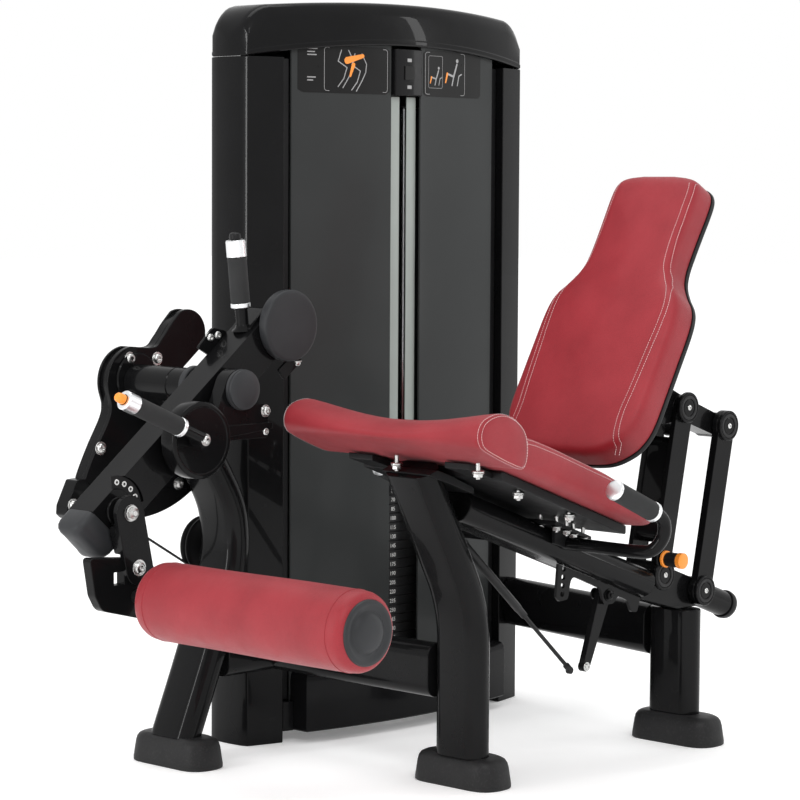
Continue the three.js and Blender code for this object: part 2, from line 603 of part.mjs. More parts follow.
// cam: two side plates and a core whose rim carries the cable
const LOBE = [-126, 819];
const HEAD_RADIUS = 67;
const LOBE_RADIUS = 46;
const CAM_RIM = CAM_RADIUS + 26;
const rimAngle = (degrees, r) => [AXIS_X + r * Math.cos(rad(degrees)), AXIS_Z + r * Math.sin(rad(degrees))];
function camSector(r) {
  const points = [rimAngle(170, HEAD_RADIUS - 1), rimAngle(225, 84), rimAngle(232, 160), rimAngle(235, 205),
    rimAngle(237, 225)];
  for (let i = 0; i <= 10; i += 1) {
    points.push(rimAngle(243 + (i * 64) / 10, r));
  }
  points.push(rimAngle(345, HEAD_RADIUS - 1));
  return outline(points);
}
function camPlate(y0, y1, r) {
  return [plateXZ(camSector(r), y0, y1), rodY(AXIS_X, AXIS_Z, HEAD_RADIUS, y0, y1, 40),
    plateXZ(stadium([AXIS_X, AXIS_Z], LOBE, HEAD_RADIUS - 22, LOBE_RADIUS), y0, y1, 12)];
}

// point near the cable's anchor: along the cable and away from it, outward positive
function anchorPoint(along, out) {
  const [c, sn] = [Math.cos(TANGENT_ANGLE), Math.sin(TANGENT_ANGLE)];
  return [camTangent[0] - along * sn + out * c, camTangent[1] + along * c + out * sn];
}
const camBlock = plateXZ(outline([[-34, -14], [-16, -26], [-0.8, -20], [-0.8, 10], [-8, 56], [-24, 53], [-31, 38]]
  .map(([along, out]) => anchorPoint(along, out))), CAM_NEAR, CAM_FAR);
const camShape = join(...camPlate(CAM_NEAR, CABLE_Y - 7, CAM_RIM), ...camPlate(CABLE_Y - 8, CABLE_Y + 8, CAM_RADIUS),
  ...camPlate(CABLE_Y + 7, CAM_FAR, CAM_RIM), camBlock);
piece('lift_cam', cut(camShape, rodY(AXIS_X, AXIS_Z, SHAFT_RADIUS + GAP, 0, 100, 28)), paint);

const CASTING_NEAR = -262;
const CASTING_FAR = -232;
const shaftCap = rodY(AXIS_X, AXIS_Z, 37, CASTING_NEAR - 15, CASTING_NEAR - GAP, 32);
piece('arm_shaft', join(rodY(AXIS_X, AXIS_Z, SHAFT_RADIUS, CASTING_NEAR - 6, CAM_FAR + 4, 28), shaftCap), darkSteel);

const HUB = [-358, 645];
const casting = join(rodY(HUB[0], HUB[1], 70, CASTING_NEAR - 8, CASTING_FAR, 48),
  plateXZ(roundedBox(-300, 640, -188, 702, 9), CASTING_NEAR, CASTING_FAR, 4),
  plateXZ(stadium([AXIS_X, AXIS_Z], [-290, 672], 38), CASTING_NEAR, CASTING_FAR, 12));
piece('hub_casting', cut(casting, rodY(AXIS_X, AXIS_Z, SHAFT_RADIUS + GAP, -300, -200, 28)), paint);

const HANDLE_Y = -298;
const forwardBase = [-380, HANDLE_Y, 651];
const forwardTop = [-569, HANDLE_Y, 731];
piece('forward_handle', cut(join(rodBetween(forwardBase, forwardTop, 11, 16),
  rodBetween(lerp(forwardBase, forwardTop, 0.24), forwardTop, 16.5, 24),
  rodY(forwardBase[0], forwardBase[2], 13, HANDLE_Y - 6, CASTING_NEAR - 8 - GAP, 20)),
rodBetween(lerp(forwardBase, forwardTop, 0.95), lerp(forwardBase, forwardTop, 1.02), 9.8, 20)), rubber);
piece('forward_button', rodBetween(lerp(forwardBase, forwardTop, 1.003), lerp(forwardBase, forwardTop, 1.09), 9, 20), orange);

// ---- roller pad ---------------------------------------------------------------------------
const LINK_NEAR = ARM_NEAR - 38;
const LINK_FAR = ARM_NEAR - 8;
const linkTop = plateXZ(stadium(LINK_PIVOT, [-497, 420], 31), LINK_NEAR, LINK_FAR, 10);
const linkFoot = plateXZ(outline([[-604, 452], [-595, 384], [-580, 364], [-458, 330], [-446, 400], [-466, 440]]),
  LINK_NEAR, LINK_FAR);
const squareHole = box(-550, LINK_NEAR - 5, 399, -527, LINK_FAR + 5, 422);
piece('pad_link', cut(join(linkTop, linkFoot), squareHole, rodY(LINK_PIVOT[0], LINK_PIVOT[1], 8.4, -300, -200, 20),
  rodY(ROLLER_CENTRE[0], ROLLER_CENTRE[1], 12 + GAP, -300, -200, 24)), paint);
const axleBody = rodY(ROLLER_CENTRE[0], ROLLER_CENTRE[1], 12, ROLLER_NEAR - 2, LINK_FAR, 24);
piece('roller_axle', axleBody, darkSteel);
const rollerTube = rodY(ROLLER_CENTRE[0], ROLLER_CENTRE[1], ROLLER_RADIUS, ROLLER_NEAR, ROLLER_FAR, 48);
const rollerBore = rodY(ROLLER_CENTRE[0], ROLLER_CENTRE[1], 12.5, ROLLER_NEAR - 9, ROLLER_FAR + 9, 24);
piece('roller_pad', cut(rollerTube, rollerBore), leather);

// ---- back rest ----------------------------------------------------------------------------
const upperOf = ([x, z]) => [x + LINK_VECTOR[0], z + LINK_VECTOR[1]];
const UPPER_FRONT = upperOf(PIVOT_FRONT);
const UPPER_REAR = upperOf(PIVOT_REAR);
const EAR_NEAR = [SEAT_Y - 37, SEAT_Y - 26];
const EAR_FAR = [SEAT_Y + 26, SEAT_Y + 37];
const linkBar = (y0, y1, r, from, to) => plateXZ(stadium(from, to, r), y0, y1, 10);
const frontMid = lerp(PIVOT_FRONT, UPPER_FRONT, 0.5);
const linkCore = plateXZ(stadium(lerp(PIVOT_FRONT, UPPER_FRONT, 0.27), lerp(PIVOT_FRONT, UPPER_FRONT, 0.73), 23),
  EAR_NEAR[0], EAR_FAR[1], 8);
const frontPins = [PIVOT_FRONT, UPPER_FRONT].map(([x, z]) => rodY(x, z, PIN_RADIUS, EAR_NEAR[0] - 8, EAR_FAR[1], 20));
const frontBosses = [PIVOT_FRONT, UPPER_FRONT].map(([x, z]) => rodY(x, z, 31, EAR_NEAR[0] - 11, EAR_NEAR[1], 32));
const frontLink = join(linkBar(...EAR_NEAR, 24, PIVOT_FRONT, UPPER_FRONT), linkBar(...EAR_FAR, 24, PIVOT_FRONT, UPPER_FRONT),
  linkCore, ...frontPins, ...frontBosses);
const KNOB = [565, 378];
piece('back_link_front', cut(frontLink, rodY(KNOB[0], KNOB[1], 5.5, -600, EAR_NEAR[1] + 5, 16)), paint);

const REAR_LINK = [SEAT_Y - 49, SEAT_Y - 27.5];
const rearPins = [PIVOT_REAR, UPPER_REAR].map(([x, z]) => rodY(x, z, PIN_RADIUS, REAR_LINK[0], MID_Y[1], 20));
const rearBosses = [PIVOT_REAR, UPPER_REAR].map(([x, z]) => rodY(x, z, 31, ...REAR_LINK, 32));
piece('back_link_rear', join(linkBar(...REAR_LINK, 24, PIVOT_REAR, UPPER_REAR), ...rearPins, ...rearBosses), paint);

piece('back_knob', join(rodY(KNOB[0], KNOB[1], 16.5, -644, SEAT_Y - 37 - 12, 24),
  rodY(KNOB[0], KNOB[1], 5, -620, EAR_NEAR[1] + 0.5, 16)), orange);

const backUp = [Math.sin(rad(BACK_ANGLE)), Math.cos(rad(BACK_ANGLE))];
// point on the pad's centre line: up along the pad and back from its front face
const backPoint = (up, back) => [
  BACK_FOOT[0] + up * backUp[0] + back * backUp[1],
  BACK_FOOT[1] + up * backUp[1] - back * backUp[0],
];
const PAD_THICK = 62;
const SHELL_THICK = 12;
const BACK_HEIGHT = 615;

// half outline of the pad: wide at the lumbar, waisted below the head section
function backOutline(grow) {
  const half = [[60, 11], [92, 16], [118, 27], [147, 50], [160, 76], [164, 110], [164, 297], [160, 329], [150, 350],
    [130, 372], [113, 398], [105, 427], [104, 470], [106, 560], [101, 592], [82, 608], [45, BACK_HEIGHT]];
  const right = half.map(([w, v]) => [w + grow, v + (v > 300 ? grow : -grow)]);
  const left = right.map(([w, v]) => [-w, v]).reverse();
  return outline([...right, ...left]);
}

// slab with that outline, between two depths behind the pad's front face
function backSlab(grow, front, rear) {
  const geometry = extrude(backOutline(grow), rear - front);
  const across = new THREE.Vector3(0, 1, 0);
  const up = new THREE.Vector3(backUp[0], 0, backUp[1]);
  const back = new THREE.Vector3().crossVectors(across, up);
  const frame = new THREE.Matrix4().makeBasis(across, up, back);
  const [x, z] = backPoint(0, front);
  return geometry.applyMatrix4(frame).translate(x, SEAT_Y, z);
}
piece('back_pad', backSlab(0, 0, PAD_THICK), leather);
piece('back_shell', backSlab(2, PAD_THICK + GAP, PAD_THICK + SHELL_THICK), charcoal);

const plateFront = PAD_THICK + SHELL_THICK + GAP;
const mountPlate = plateXZ(outline([backPoint(90, plateFront), backPoint(90, plateFront + 10),
  backPoint(330, plateFront + 10), backPoint(330, plateFront)]), SEAT_Y - 60, SEAT_Y + 60);
const arm = plateXZ(outline([backPoint(92, plateFront + 6), [600, 640], [642, 649], [768, 606], [786, 640], [640, 693],
  [545, 735], backPoint(240, plateFront + 6)]), ...MID_Y);
const carrierHubs = [UPPER_FRONT, UPPER_REAR].map(([x, z]) => rodY(x, z, 22, ...MID_Y));
const carrierBores = [UPPER_FRONT, UPPER_REAR].map(([x, z]) => rodY(x, z, PIN_RADIUS + 0.4, -600, -480, 20));
const bumper = rodY(714, 618, 14, MID_Y[0] + 4, MID_Y[1] + 46, 20);
piece('back_carrier', cut(join(mountPlate, arm, ...carrierHubs, bumper), ...carrierBores), paint);

// ---- lower adjuster -----------------------------------------------------------------------
const beamUnder = (x) => beamAt(x) - TUBE_THICK / 2 / Math.cos(rad(BEAM_SLOPE)) - 1;
const PLATE_Y = [SEAT_Y - 26, SEAT_Y - 20];
const selectorOutline = outline([[276, beamUnder(276)], [270, 330], [280, 320], [304, 322], [314, beamUnder(314) - 12],
  [400, beamUnder(400) - 14], [410, 300], [440, 300], [452, beamUnder(452) - 14], [482, beamUnder(482) - 16],
  [494, 278], [512, 276], [522, beamUnder(522)]]);
const selectorHoles = [0, 1, 2, 3].map((i) => rodY(292 - i * 1.5, 382 - i * 16, 5.5, PLATE_Y[0] - 5, PLATE_Y[1] + 5, 14));
const leverPin = rodY(LEVER_PIVOT[0], LEVER_PIVOT[1], 6, PLATE_Y[1] - 3, SEAT_Y + 8, 16);
piece('selector_plate', join(cut(plateXZ(selectorOutline, ...PLATE_Y), ...selectorHoles), leverPin), paint);

const LEVER_Y = [SEAT_Y - 18, SEAT_Y - 4];
const lever = join(plateXZ(stadium(LEVER_PIVOT, [372, 186], 17, 10), ...LEVER_Y, 8),
  rodY(SPRING_EYE[0] + 14, SPRING_EYE[1] + 8, 10, ...LEVER_Y, 16));
piece('back_lever', cut(lever, rodY(LEVER_PIVOT[0], LEVER_PIVOT[1], 6.4, -600, -500, 16)), paint);
const SPRING_Y = SEAT_Y + 12;
const springAt = (t) => [SPRING_TOP[0] + (SPRING_EYE[0] - SPRING_TOP[0]) * t, SPRING_Y,
  SPRING_TOP[1] + (SPRING_EYE[1] - SPRING_TOP[1]) * t];
const springBore = rodBetween(springAt(0.08), springAt(0.8), 4.5, 14);
piece('gas_spring_body', cut(rodBetween(springAt(0), springAt(0.72), 10.5, 20), springBore), darkSteel);
piece('gas_spring_rod', rodBetween(springAt(0.4), springAt(1), 4, 14), chrome);

// ---- move the origin to the bottom centre -------------------------------------------------
const bounds = new THREE.Box3().setFromObject(machine);
const centre = bounds.getCenter(new THREE.Vector3());
machine.position.set(-centre.x, -centre.y, -bounds.min.z);

export default machine;
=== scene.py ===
import math
import random

import bmesh
import bpy
from mathutils import Matrix, Vector


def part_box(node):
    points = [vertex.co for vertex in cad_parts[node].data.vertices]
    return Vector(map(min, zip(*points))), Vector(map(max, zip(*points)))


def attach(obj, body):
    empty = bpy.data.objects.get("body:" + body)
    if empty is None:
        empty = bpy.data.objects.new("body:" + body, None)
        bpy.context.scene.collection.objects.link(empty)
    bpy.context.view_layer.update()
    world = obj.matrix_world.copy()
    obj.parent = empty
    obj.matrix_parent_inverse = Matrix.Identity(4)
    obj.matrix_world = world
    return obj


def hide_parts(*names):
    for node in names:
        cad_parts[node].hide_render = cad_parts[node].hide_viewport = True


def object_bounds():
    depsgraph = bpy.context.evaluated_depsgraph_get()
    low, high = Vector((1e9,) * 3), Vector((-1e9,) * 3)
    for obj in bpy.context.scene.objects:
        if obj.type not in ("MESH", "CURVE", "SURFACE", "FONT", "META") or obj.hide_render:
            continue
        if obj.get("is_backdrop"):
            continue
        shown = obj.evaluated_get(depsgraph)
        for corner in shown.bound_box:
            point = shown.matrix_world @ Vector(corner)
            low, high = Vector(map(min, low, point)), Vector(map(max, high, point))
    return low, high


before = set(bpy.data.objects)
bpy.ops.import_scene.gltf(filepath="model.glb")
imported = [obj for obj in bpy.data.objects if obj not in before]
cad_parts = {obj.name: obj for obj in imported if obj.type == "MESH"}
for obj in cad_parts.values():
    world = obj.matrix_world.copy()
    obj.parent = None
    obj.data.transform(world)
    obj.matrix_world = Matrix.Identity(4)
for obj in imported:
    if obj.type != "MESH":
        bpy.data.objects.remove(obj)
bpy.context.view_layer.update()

# Corner of the resting plates in the build frame: floor, tower corner at the origin, millimetres.
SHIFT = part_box("resting_plates")[0] - Vector((0.2525, -0.013, 0.166))
SEAT_Y = -542.0
CABLE_Y = 50.0
AXIS = (-260.0, 732.0)
random.seed(7)


def P(x, y, z):
    return Vector((x, y, z)) / 1000 + SHIFT


# ---------------------------------------------------------------- camera
def place_camera():
    yaw, pitch, roll = map(math.radians, (44.03, 4.28, 0.312))
    forward = Vector((math.cos(yaw) * math.cos(pitch), math.sin(yaw) * math.cos(pitch), -math.sin(pitch)))
    right = forward.cross(Vector((0, 0, 1))).normalized()
    up = right.cross(forward)
    r = right * math.cos(roll) + up * math.sin(roll)
    u = up * math.cos(roll) - right * math.sin(roll)
    cam = bpy.data.objects.new("camera", bpy.data.cameras.new("camera"))
    bpy.context.scene.collection.objects.link(cam)
    rot = Matrix((r, u, -forward)).transposed()
    cam.matrix_world = Matrix.Translation(P(-3760.4, -4050.3, 1100.0)) @ rot.to_4x4()
    cam.data.lens = 127.5
    cam.data.sensor_width = 36
    cam.data.clip_end = 50
    bpy.context.scene.camera = cam
    return cam


place_camera()


# ---------------------------------------------------------------- materials
def new_mat(name):
    m = bpy.data.materials.new(name)
    m.use_nodes = True
    nt = m.node_tree
    return m, nt, nt.nodes["Principled BSDF"]


def node(nt, kind, **props):
    n = nt.nodes.new(kind)
    for k, v in props.items():
        if k.startswith("i_"):
            key = k[2:].replace("_", " ")
            n.inputs[key].default_value = v
        else:
            setattr(n, k, v)
    return n


def noise_value(nt, coord, scale, detail, low, high):
    tex = node(nt, "ShaderNodeTexNoise")
    tex.inputs["Scale"].default_value = scale
    tex.inputs["Detail"].default_value = detail
    nt.links.new(coord, tex.inputs["Vector"])
    rng = node(nt, "ShaderNodeMapRange")
    rng.inputs["From Min"].default_value = 0.3
    rng.inputs["From Max"].default_value = 0.7
    rng.inputs["To Min"].default_value = low
    rng.inputs["To Max"].default_value = high
    nt.links.new(tex.outputs["Fac"], rng.inputs["Value"])
    return rng.outputs["Result"]


def finish_mat(name, color, rough, metal=0.0, coat=0.0, coat_rough=0.05, var=0.12, rough_var=0.05,
               bump=(900.0, 0.05, 0.0002), edge=0.0012, scale=14.0, sheen=0.0, spec=0.5, wear=0.0):
    """Painted, moulded or metal surface: mottled colour and roughness, fine bump and softened edges."""
    m, nt, bsdf = new_mat(name)
    coord = node(nt, "ShaderNodeTexCoord").outputs["Object"]
    bsdf.inputs["Metallic"].default_value = metal
    bsdf.inputs["Coat Weight"].default_value = coat
    bsdf.inputs["Coat Roughness"].default_value = coat_rough
    bsdf.inputs["Sheen Weight"].default_value = sheen
    bsdf.inputs["Specular IOR Level"].default_value = spec
    fac = noise_value(nt, coord, scale, 4, 0.0, 1.0)
    mix = node(nt, "ShaderNodeMix", data_type="RGBA")
    mix.inputs["A"].default_value = (*[c * (1 - var) for c in color], 1)
    mix.inputs["B"].default_value = (*[min(c * (1 + var), 1) for c in color], 1)
    nt.links.new(fac, mix.inputs["Factor"])
    colour_out = mix.outputs["Result"]
    if wear:
        worn = noise_value(nt, coord, 260.0, 6, -1.2, 1.0)
        clip = node(nt, "ShaderNodeMath", operation="MAXIMUM")
        clip.inputs[1].default_value = 0.0
        nt.links.new(worn, clip.inputs[0])
        amount = node(nt, "ShaderNodeMath", operation="MULTIPLY")
        amount.inputs[1].default_value = wear
        nt.links.new(clip.outputs[0], amount.inputs[0])
        scuff = node(nt, "ShaderNodeMix", data_type="RGBA")
        scuff.inputs["B"].default_value = (*[min(c * 1.8 + 0.02, 1) for c in color], 1)
        nt.links.new(amount.outputs[0], scuff.inputs["Factor"])
        nt.links.new(colour_out, scuff.inputs["A"])
        colour_out = scuff.outputs["Result"]
    nt.links.new(colour_out, bsdf.inputs["Base Color"])
    nt.links.new(noise_value(nt, coord, scale * 2.3, 5, rough - rough_var, rough + rough_var),
                 bsdf.inputs["Roughness"])
    tex = node(nt, "ShaderNodeTexNoise")
    tex.inputs["Scale"].default_value = bump[0]
    tex.inputs["Detail"].default_value = 3
    nt.links.new(coord, tex.inputs["Vector"])
    bmp = node(nt, "ShaderNodeBump")
    bmp.inputs["Strength"].default_value = bump[1]
    bmp.inputs["Distance"].default_value = bump[2]
    nt.links.new(tex.outputs["Fac"], bmp.inputs["Height"])
    if edge:
        bev = node(nt, "ShaderNodeBevel", samples=4)
        bev.inputs["Radius"].default_value = edge
        nt.links.new(bev.outputs["Normal"], bmp.inputs["Normal"])
    nt.links.new(bmp.outputs["Normal"], bsdf.inputs["Normal"])
    return m


def leather_mat():
    m, nt, bsdf = new_mat("red_vinyl")
    coord = node(nt, "ShaderNodeTexCoord").outputs["Object"]
    bsdf.inputs["Sheen Weight"].default_value = 0.07
    bsdf.inputs["Sheen Roughness"].default_value = 0.45
    bsdf.inputs["Specular IOR Level"].default_value = 0.3
    warm = node(nt, "ShaderNodeMix", data_type="RGBA")
    warm.inputs["A"].default_value = (0.235, 0.010, 0.017, 1)
    warm.inputs["B"].default_value = (0.31, 0.020, 0.029, 1)
    nt.links.new(noise_value(nt, coord, 9.0, 6, 0.0, 1.0), warm.inputs["Factor"])
    cells = node(nt, "ShaderNodeTexVoronoi", feature="DISTANCE_TO_EDGE")
    cells.inputs["Scale"].default_value = 620.0
    nt.links.new(coord, cells.inputs["Vector"])
    pore = node(nt, "ShaderNodeMapRange")
    pore.inputs["From Max"].default_value = 0.18
    nt.links.new(cells.outputs["Distance"], pore.inputs["Value"])
    dark = node(nt, "ShaderNodeMix", data_type="RGBA", blend_type="MULTIPLY")
    dark.inputs["Factor"].default_value = 1.0
    grey = node(nt, "ShaderNodeMapRange")
    grey.inputs["To Min"].default_value = 0.72
    nt.links.new(pore.outputs["Result"], grey.inputs["Value"])
    nt.links.new(warm.outputs["Result"], dark.inputs["A"])
    nt.links.new(grey.outputs["Result"], dark.inputs["B"])
    nt.links.new(dark.outputs["Result"], bsdf.inputs["Base Color"])
    nt.links.new(noise_value(nt, coord, 30.0, 5, 0.40, 0.52), bsdf.inputs["Roughness"])
    wrinkle = node(nt, "ShaderNodeTexNoise")
    wrinkle.inputs["Scale"].default_value = 55.0
    wrinkle.inputs["Detail"].default_value = 6
    nt.links.new(coord, wrinkle.inputs["Vector"])
    soft = node(nt, "ShaderNodeBump")
    soft.inputs["Strength"].default_value = 0.25
    soft.inputs["Distance"].default_value = 0.0012
    nt.links.new(wrinkle.outputs["Fac"], soft.inputs["Height"])
    grain = node(nt, "ShaderNodeBump")
    grain.inputs["Strength"].default_value = 0.35
    grain.inputs["Distance"].default_value = 0.00025
    nt.links.new(pore.outputs["Result"], grain.inputs["Height"])
    nt.links.new(soft.outputs["Normal"], grain.inputs["Normal"])
    nt.links.new(grain.outputs["Normal"], bsdf.inputs["Normal"])
    return m


PAINT = finish_mat("gloss_black_paint", (0.0045, 0.0045, 0.0048), 0.24, coat=0.15, coat_rough=0.03,
                   rough_var=0.04,
                   bump=(420.0, 0.04, 0.0002), edge=0.0018, spec=0.05)
SHROUD = finish_mat("shroud_black", (0.006, 0.006, 0.0065), 0.22, coat=0.08, coat_rough=0.05, spec=0.05,
                    bump=(300.0, 0.03, 0.0002))
PANEL = finish_mat("smoked_sheet", (0.033, 0.035, 0.035), 0.34, coat=0.05, spec=0.08, coat_rough=0.12,
                   rough_var=0.03,
                   bump=(700.0, 0.03, 0.0001), var=0.06, scale=5.0)
MOULD = finish_mat("satin_moulding", (0.024, 0.025, 0.027), 0.46, spec=0.2, bump=(1500.0, 0.18, 0.00018),
                   rough_var=0.05)
MOULD_DARK = finish_mat("dark_moulding", (0.009, 0.009, 0.0095), 0.42, spec=0.15,
                        bump=(1500.0, 0.15, 0.00015))
FOAM = finish_mat("grip_foam", (0.022, 0.0225, 0.023), 0.78, bump=(1900.0, 0.4, 0.00035), sheen=0.03,
                  spec=0.2,
                  rough_var=0.08)
RUBBER = finish_mat("foot_rubber", (0.014, 0.014, 0.0145), 0.5, spec=0.2, bump=(1100.0, 0.25, 0.0002),
                    rough_var=0.08, wear=0.25)
STEEL = finish_mat("dark_plate_steel", (0.012, 0.012, 0.0125), 0.4, spec=0.25, metal=0.2,
                   bump=(800.0, 0.12, 0.0002), wear=0.2)
CHROME = finish_mat("chrome", (0.72, 0.73, 0.74), 0.1, metal=1.0, bump=(600.0, 0.02, 0.0001), var=0.04,
                    rough_var=0.03)
ZINC = finish_mat("zinc_bolt", (0.55, 0.55, 0.54), 0.28, metal=1.0, bump=(900.0, 0.15, 0.0002), edge=0.0006,
                  rough_var=0.08,
                  wear=0.2)
ALU = finish_mat("satin_aluminium", (0.80, 0.81, 0.82), 0.3, metal=1.0, bump=(1200.0, 0.08, 0.0001), var=0.04)
ORANGE = finish_mat("orange_plastic", (0.86, 0.27, 0.025), 0.38, bump=(900.0, 0.08, 0.0001), var=0.06)
# pale colour is painted backlight: it stands in for light coming through the rear panel, seen in the gap between the
# front panels
BACKLIGHT_PAINT = finish_mat("painted_backlight_strip", (0.27, 0.30, 0.28), 0.4, bump=(500.0, 0.05, 0.0001), var=0.05, scale=6.0)
CABLE_MAT = finish_mat("coated_cable", (0.012, 0.012, 0.012), 0.45, bump=(1400.0, 0.4, 0.0004), edge=0)
LABEL = finish_mat("label_white", (0.72, 0.72, 0.70), 0.5, bump=(600.0, 0.03, 0.0001), edge=0, var=0.03)
LABEL_GREY = finish_mat("label_grey", (0.30, 0.30, 0.30), 0.5, bump=(600.0, 0.03, 0.0001), edge=0, var=0.05)
FILM = finish_mat("label_film", (0.011, 0.011, 0.011), 0.32, coat=0.05, spec=0.1, bump=(500.0, 0.02, 0.0001),
                  edge=0, var=0.08)
THREAD = finish_mat("white_thread", (0.70, 0.60, 0.60), 0.75, bump=(2500.0, 0.5, 0.0002), edge=0, sheen=0.3)
LEATHER = leather_mat()


# ---------------------------------------------------------------- mesh helpers
def make(name, verts, faces, mat, body, node_name=None, slot=None, bevel=0.0, segments=3, angle=35,
         raw=False):
    """Mesh from millimetre points in the build frame, riding on a body, and standing for a CAD node."""
    mesh = bpy.data.meshes.new(name)
    mesh.from_pydata([tuple(v) if raw else tuple(P(*v)) for v in verts], [], faces)
    bm = bmesh.new()
    bm.from_mesh(mesh)
    bmesh.ops.remove_doubles(bm, verts=bm.verts, dist=1e-6)
    bmesh.ops.recalc_face_normals(bm, faces=bm.faces)
    bm.to_mesh(mesh)
    bm.free()
    mesh.materials.append(mat)
    obj = bpy.data.objects.new(name, mesh)
    bpy.context.scene.collection.objects.link(obj)
    mesh.polygons.foreach_set("use_smooth", [True] * len(mesh.polygons))
    mesh.set_sharp_from_angle(angle=math.radians(angle))
    if bevel:
        mod = obj.modifiers.new("bevel", "BEVEL")
        mod.width = bevel / 1000
        mod.segments = segments
        mod.limit_method = "ANGLE"
        mod.angle_limit = math.radians(30)
        mod.harden_normals = True
        mod.use_clamp_overlap = True
    if body:
        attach(obj, body)
    if node_name:
        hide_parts(*([node_name] if isinstance(node_name, str) else node_name))
    return obj


class Build:
    """Collects closed shapes that end up as one mesh."""

    def __init__(self):
        self.v = []
        self.f = []

    def add(self, verts, faces):
        base = len(self.v)
        self.v += [tuple(v) for v in verts]
        self.f += [tuple(i + base for i in f) for f in faces]
        return self

    def loft(self, rings, closed_ends=True, closed_loop=True):
        n = len(rings[0])
        verts = [v for ring in rings for v in ring]
        faces = []
        for k in range(len(rings) - 1):
            for i in range(n if closed_loop else n - 1):
                j = (i + 1) % n
                faces.append((k * n + i, k * n + j, (k + 1) * n + j, (k + 1) * n + i))
        if closed_ends:
            faces.append(tuple(range(n))[::-1])
            faces.append(tuple((len(rings) - 1) * n + i for i in range(n)))
        return self.add(verts, faces)

    def prism(self, outline, a, b, axis="y"):
        """Outline (x, z) from y=a to y=b, or (x, y) from z=a to z=b."""
        if axis == "y":
            rings = [[(x, t, z) for x, z in outline] for t in (a, b)]
        elif axis == "z":
            rings = [[(x, y, t) for x, y in outline] for t in (a, b)]
        else:
            rings = [[(t, y, z) for y, z in outline] for t in (a, b)]
        return self.loft(rings)

    def box(self, x0, y0, z0, x1, y1, z1):
        return self.prism([(x0, z0), (x1, z0), (x1, z1), (x0, z1)], y0, y1)

    def lathe(self, profile, a, b, segments=48):
        """Profile of (distance along a to b, radius); ends close on the axis."""
        a, b = Vector(a), Vector(b)
        d = (b - a).normalized()
        side = d.orthogonal().normalized()
        other = d.cross(side)
        rings = []
        for s, r in profile:
            r = max(r, 0.01)
            rings.append([a + d * s + (side * math.cos(t) + other * math.sin(t)) * r
                          for t in (2 * math.pi * i / segments for i in range(segments))])
        return self.loft(rings, closed_ends=profile[0] != profile[-1])

    def rod(self, a, b, r, chamfer=0.6, r_end=None, segments=32):
        length = (Vector(b) - Vector(a)).length
        e = r if r_end is None else r_end
        return self.lathe([(0, 0), (0, r - chamfer), (chamfer, r), (length - chamfer, e),
                           (length, e - chamfer),
                           (length, 0)], a, b, segments)

    def disc(self, x, z, r, y0, y1, chamfer=1.0, segments=64):
        return self.rod((x, y0, z), (x, y1, z), r, chamfer, None, segments)

    def sweep(self, points, section, side=None, scales=None):
        """Section (a, b) carried along points; a follows `side` where given, else a parallel frame."""
        pts = [Vector(p) for p in points]
        tangents = []
        for i in range(len(pts)):
            lo, hi = max(i - 1, 0), min(i + 1, len(pts) - 1)
            tangents.append((pts[hi] - pts[lo]).normalized())
        if side is None:
            a_dir = tangents[0].orthogonal().normalized()
        rings = []
        for i, (p, t) in enumerate(zip(pts, tangents)):
            if side is not None:
                a_dir = (Vector(side) - t * t.dot(Vector(side))).normalized()
            else:
                a_dir = (a_dir - t * t.dot(a_dir)).normalized()
            b_dir = t.cross(a_dir)
            k = scales[i] if scales else 1.0
            rings.append([p + a_dir * (u * k) + b_dir * (v * k) for u, v in section])
        return self.loft(rings)

    def obj(self, name, mat, body, node_name=None, **kw):
        return make(name, self.v, self.f, mat, body, node_name, **kw)


def circle(r, n=32, cx=0.0, cy=0.0):
    return [(cx + r * math.cos(2 * math.pi * i / n),
             cy + r * math.sin(2 * math.pi * i / n)) for i in range(n)]


def oval(width, thick, n=14):
    r = thick / 2
    flat = width / 2 - r
    right = [(flat + r * math.cos(t),
              r * math.sin(t)) for t in (math.pi * (i / n - 0.5) for i in range(n + 1))]
    return right + [(-x, -y) for x, y in right]


def stadium(a, b, ra, rb=None, n=20):
    rb = ra if rb is None else rb
    (ax, az), (bx, bz) = a, b
    d = math.hypot(bx - ax, bz - az)
    ang = math.atan2(bz - az, bx - ax)
    tip = math.acos(max(-1, min(1, (ra - rb) / d)))
    out = [(bx + rb * math.cos(ang - tip + 2 * tip * i / n), bz + rb * math.sin(ang - tip + 2 * tip * i / n))
           for i in range(n + 1)]
    span = 2 * math.pi - 2 * tip
    out += [(ax + ra * math.cos(ang + tip + span * i / n), az + ra * math.sin(ang + tip + span * i / n))
            for i in range(n + 1)]
    return out


def rounded(points, r, n=6):
    """Polygon with its corners rounded; r is one radius or one per corner."""
    out = []
    count = len(points)
    for i, p in enumerate(points):
        q = Vector(p)
        a, b = Vector(points[i - 1]), Vector(points[(i + 1) % count])
        rad = r[i] if isinstance(r, (list, tuple)) else r
        if rad <= 0.01:
            out.append(tuple(q))
            continue
        da, db = (a - q), (b - q)
        half = da.angle(db) / 2
        cut = min(rad / math.tan(half), da.length * 0.49, db.length * 0.49)
        s, e = q + da.normalized() * cut, q + db.normalized() * cut
        for k in range(n + 1):
            t = k / n
            out.append(tuple(s * (1 - t) ** 2 + q * 2 * t * (1 - t) + e * t * t))
    return out


